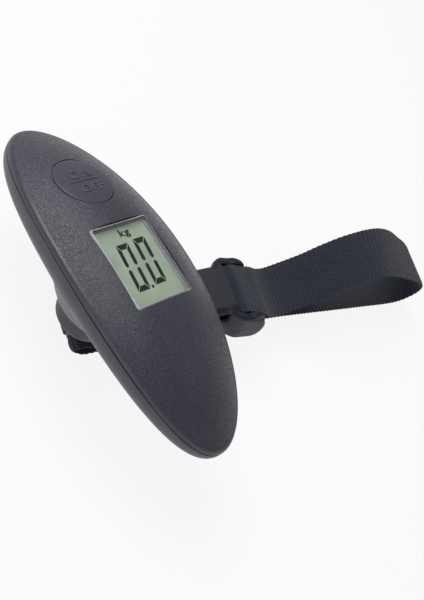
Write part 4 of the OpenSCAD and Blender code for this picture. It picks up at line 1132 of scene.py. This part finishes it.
class SCALE_OT_stage(bpy.types.Operator):
    """Camera, floor and soft light"""
    bl_idname = "scale.stage"
    bl_label = "Stage"

    def execute(self, context):
        s = context.scene.scale_stage
        scene = context.scene
        scene.view_settings.view_transform = "Standard"
        lens = bpy.data.cameras.new("camera")
        lens.sensor_width = 36.0
        lens.lens = 60.0
        lens.clip_start, lens.clip_end = 0.01, 10.0
        camera = placed("camera", lens)
        camera.location = (0.0769768, -0.2133914, 0.2671135)
        camera.rotation_euler = Euler((0.6228614, -0.5754619, 0.8813598), "XYZ")
        scene.camera = camera

        floor_z, wide = -4.2, 3000
        corners = [(x * wide, y * wide, floor_z) for x, y in ((-1, -1), (1, -1), (1, 1), (-1, 1))]
        floor = mesh_object("floor", corners, [(0, 1, 2, 3)])
        made = bpy.data.materials.new("Paper_white_floor")
        tree = blank(made)
        seen = add(tree, "ShaderNodeMath", dict(enumerate(seen_rays(tree))), operation="MAXIMUM")
        share = add(tree, "ShaderNodeMath", {0: seen, 1: FLOOR_WHITE}, operation="MULTIPLY")
        paper = add(tree, "ShaderNodeBsdfDiffuse", {"Color": linear("#fcfcfc")})
        white = add(tree, "ShaderNodeEmission", {"Color": (1, 1, 1, 1), "Strength": 1.0})
        mixed = add(tree, "ShaderNodeMixShader", {0: share, 1: paper, 2: white})
        # From below the sheet is clear, so that the underside of the scale can be seen
        under = add(tree, "ShaderNodeNewGeometry").outputs["Backfacing"]
        clear = add(tree, "ShaderNodeBsdfTransparent")
        sheet = add(tree, "ShaderNodeMixShader", {0: under, 1: mixed, 2: clear})
        add(tree, "ShaderNodeOutputMaterial", {0: sheet})
        floor.data.materials.append(made)

        world = bpy.data.worlds.new("soft_sky")
        tree = blank(world)
        # Gloss and glass see the white all round the floor, and overhead the plain sky that lights the scale
        way = add(tree, "ShaderNodeSeparateXYZ", {0: add(tree, "ShaderNodeTexCoord").outputs["Generated"]})
        around_floor = add(tree, "ShaderNodeMapRange", {"Value": way.outputs[2], "From Min": 0.28, "From Max": 0.05})
        plain, gloss = seen_rays(tree)
        low = add(tree, "ShaderNodeMath", {0: gloss, 1: around_floor}, operation="MULTIPLY")
        seen = add(tree, "ShaderNodeMath", {0: plain, 1: low}, operation="MAXIMUM")
        level = add(tree, "ShaderNodeMapRange", {"Value": seen, "To Min": s.sky, "To Max": 1.0})
        sky = add(tree, "ShaderNodeBackground", {"Color": (1, 1, 1, 1), "Strength": level})
        add(tree, "ShaderNodeOutputWorld", {0: sky})
        scene.world = world

        target = Vector((0.0, 0.03, 0.03))
        for name, energy, size, place in (
            ("key", s.key_energy, 0.4, (-0.36, -0.08, 0.64)),
            ("fill", s.fill_energy, 0.6, (0.1, -0.75, 0.35)),
        ):
            lamp = bpy.data.lights.new(name, "AREA")
            lamp.energy = energy
            lamp.size = size
            made = placed(name, lamp)
            made.location = place
            made.rotation_euler = (target - made.location).to_track_quat("-Z", "Y").to_euler()
        return {"FINISHED"}


OPERATORS = (
    SCALE_OT_stage, SCALE_OT_cover, SCALE_OT_lower_shell, SCALE_OT_door, SCALE_OT_display, SCALE_OT_button,
    SCALE_OT_stem, SCALE_OT_buckle, SCALE_OT_strap, SCALE_OT_stitching,
)


class SCALE_PT_panel(bpy.types.Panel):
    """Lists the steps that dress the scale"""
    bl_idname = "SCALE_PT_panel"
    bl_label = "Luggage scale"
    bl_space_type = "VIEW_3D"
    bl_region_type = "UI"
    bl_category = "Scale"

    def draw(self, context):
        for operator in OPERATORS:
            self.layout.operator(operator.bl_idname)


SETTINGS = {
    "scale_shell": ScaleShellSettings,
    "scale_display": ScaleDisplaySettings,
    "scale_strap": ScaleStrapSettings,
    "scale_stage": ScaleStageSettings,
}


def register():
    for name, group in SETTINGS.items():
        bpy.utils.register_class(group)
        setattr(bpy.types.Scene, name, bpy.props.PointerProperty(type=group))
    for cls in (*OPERATORS, SCALE_PT_panel):
        bpy.utils.register_class(cls)


def unregister():
    for cls in reversed((*OPERATORS, SCALE_PT_panel)):
        bpy.utils.unregister_class(cls)
    for name, group in SETTINGS.items():
        delattr(bpy.types.Scene, name)
        bpy.utils.unregister_class(group)


def main():
    register()
    bpy.ops.scale.stage()
    bpy.ops.scale.cover()
    bpy.ops.scale.lower_shell()
    bpy.ops.scale.door()
    bpy.ops.scale.display()
    bpy.ops.scale.button()
    bpy.ops.scale.stem()
    bpy.ops.scale.buckle()
    bpy.ops.scale.strap()
    bpy.ops.scale.stitching()


if __name__ == "__main__":
    main()
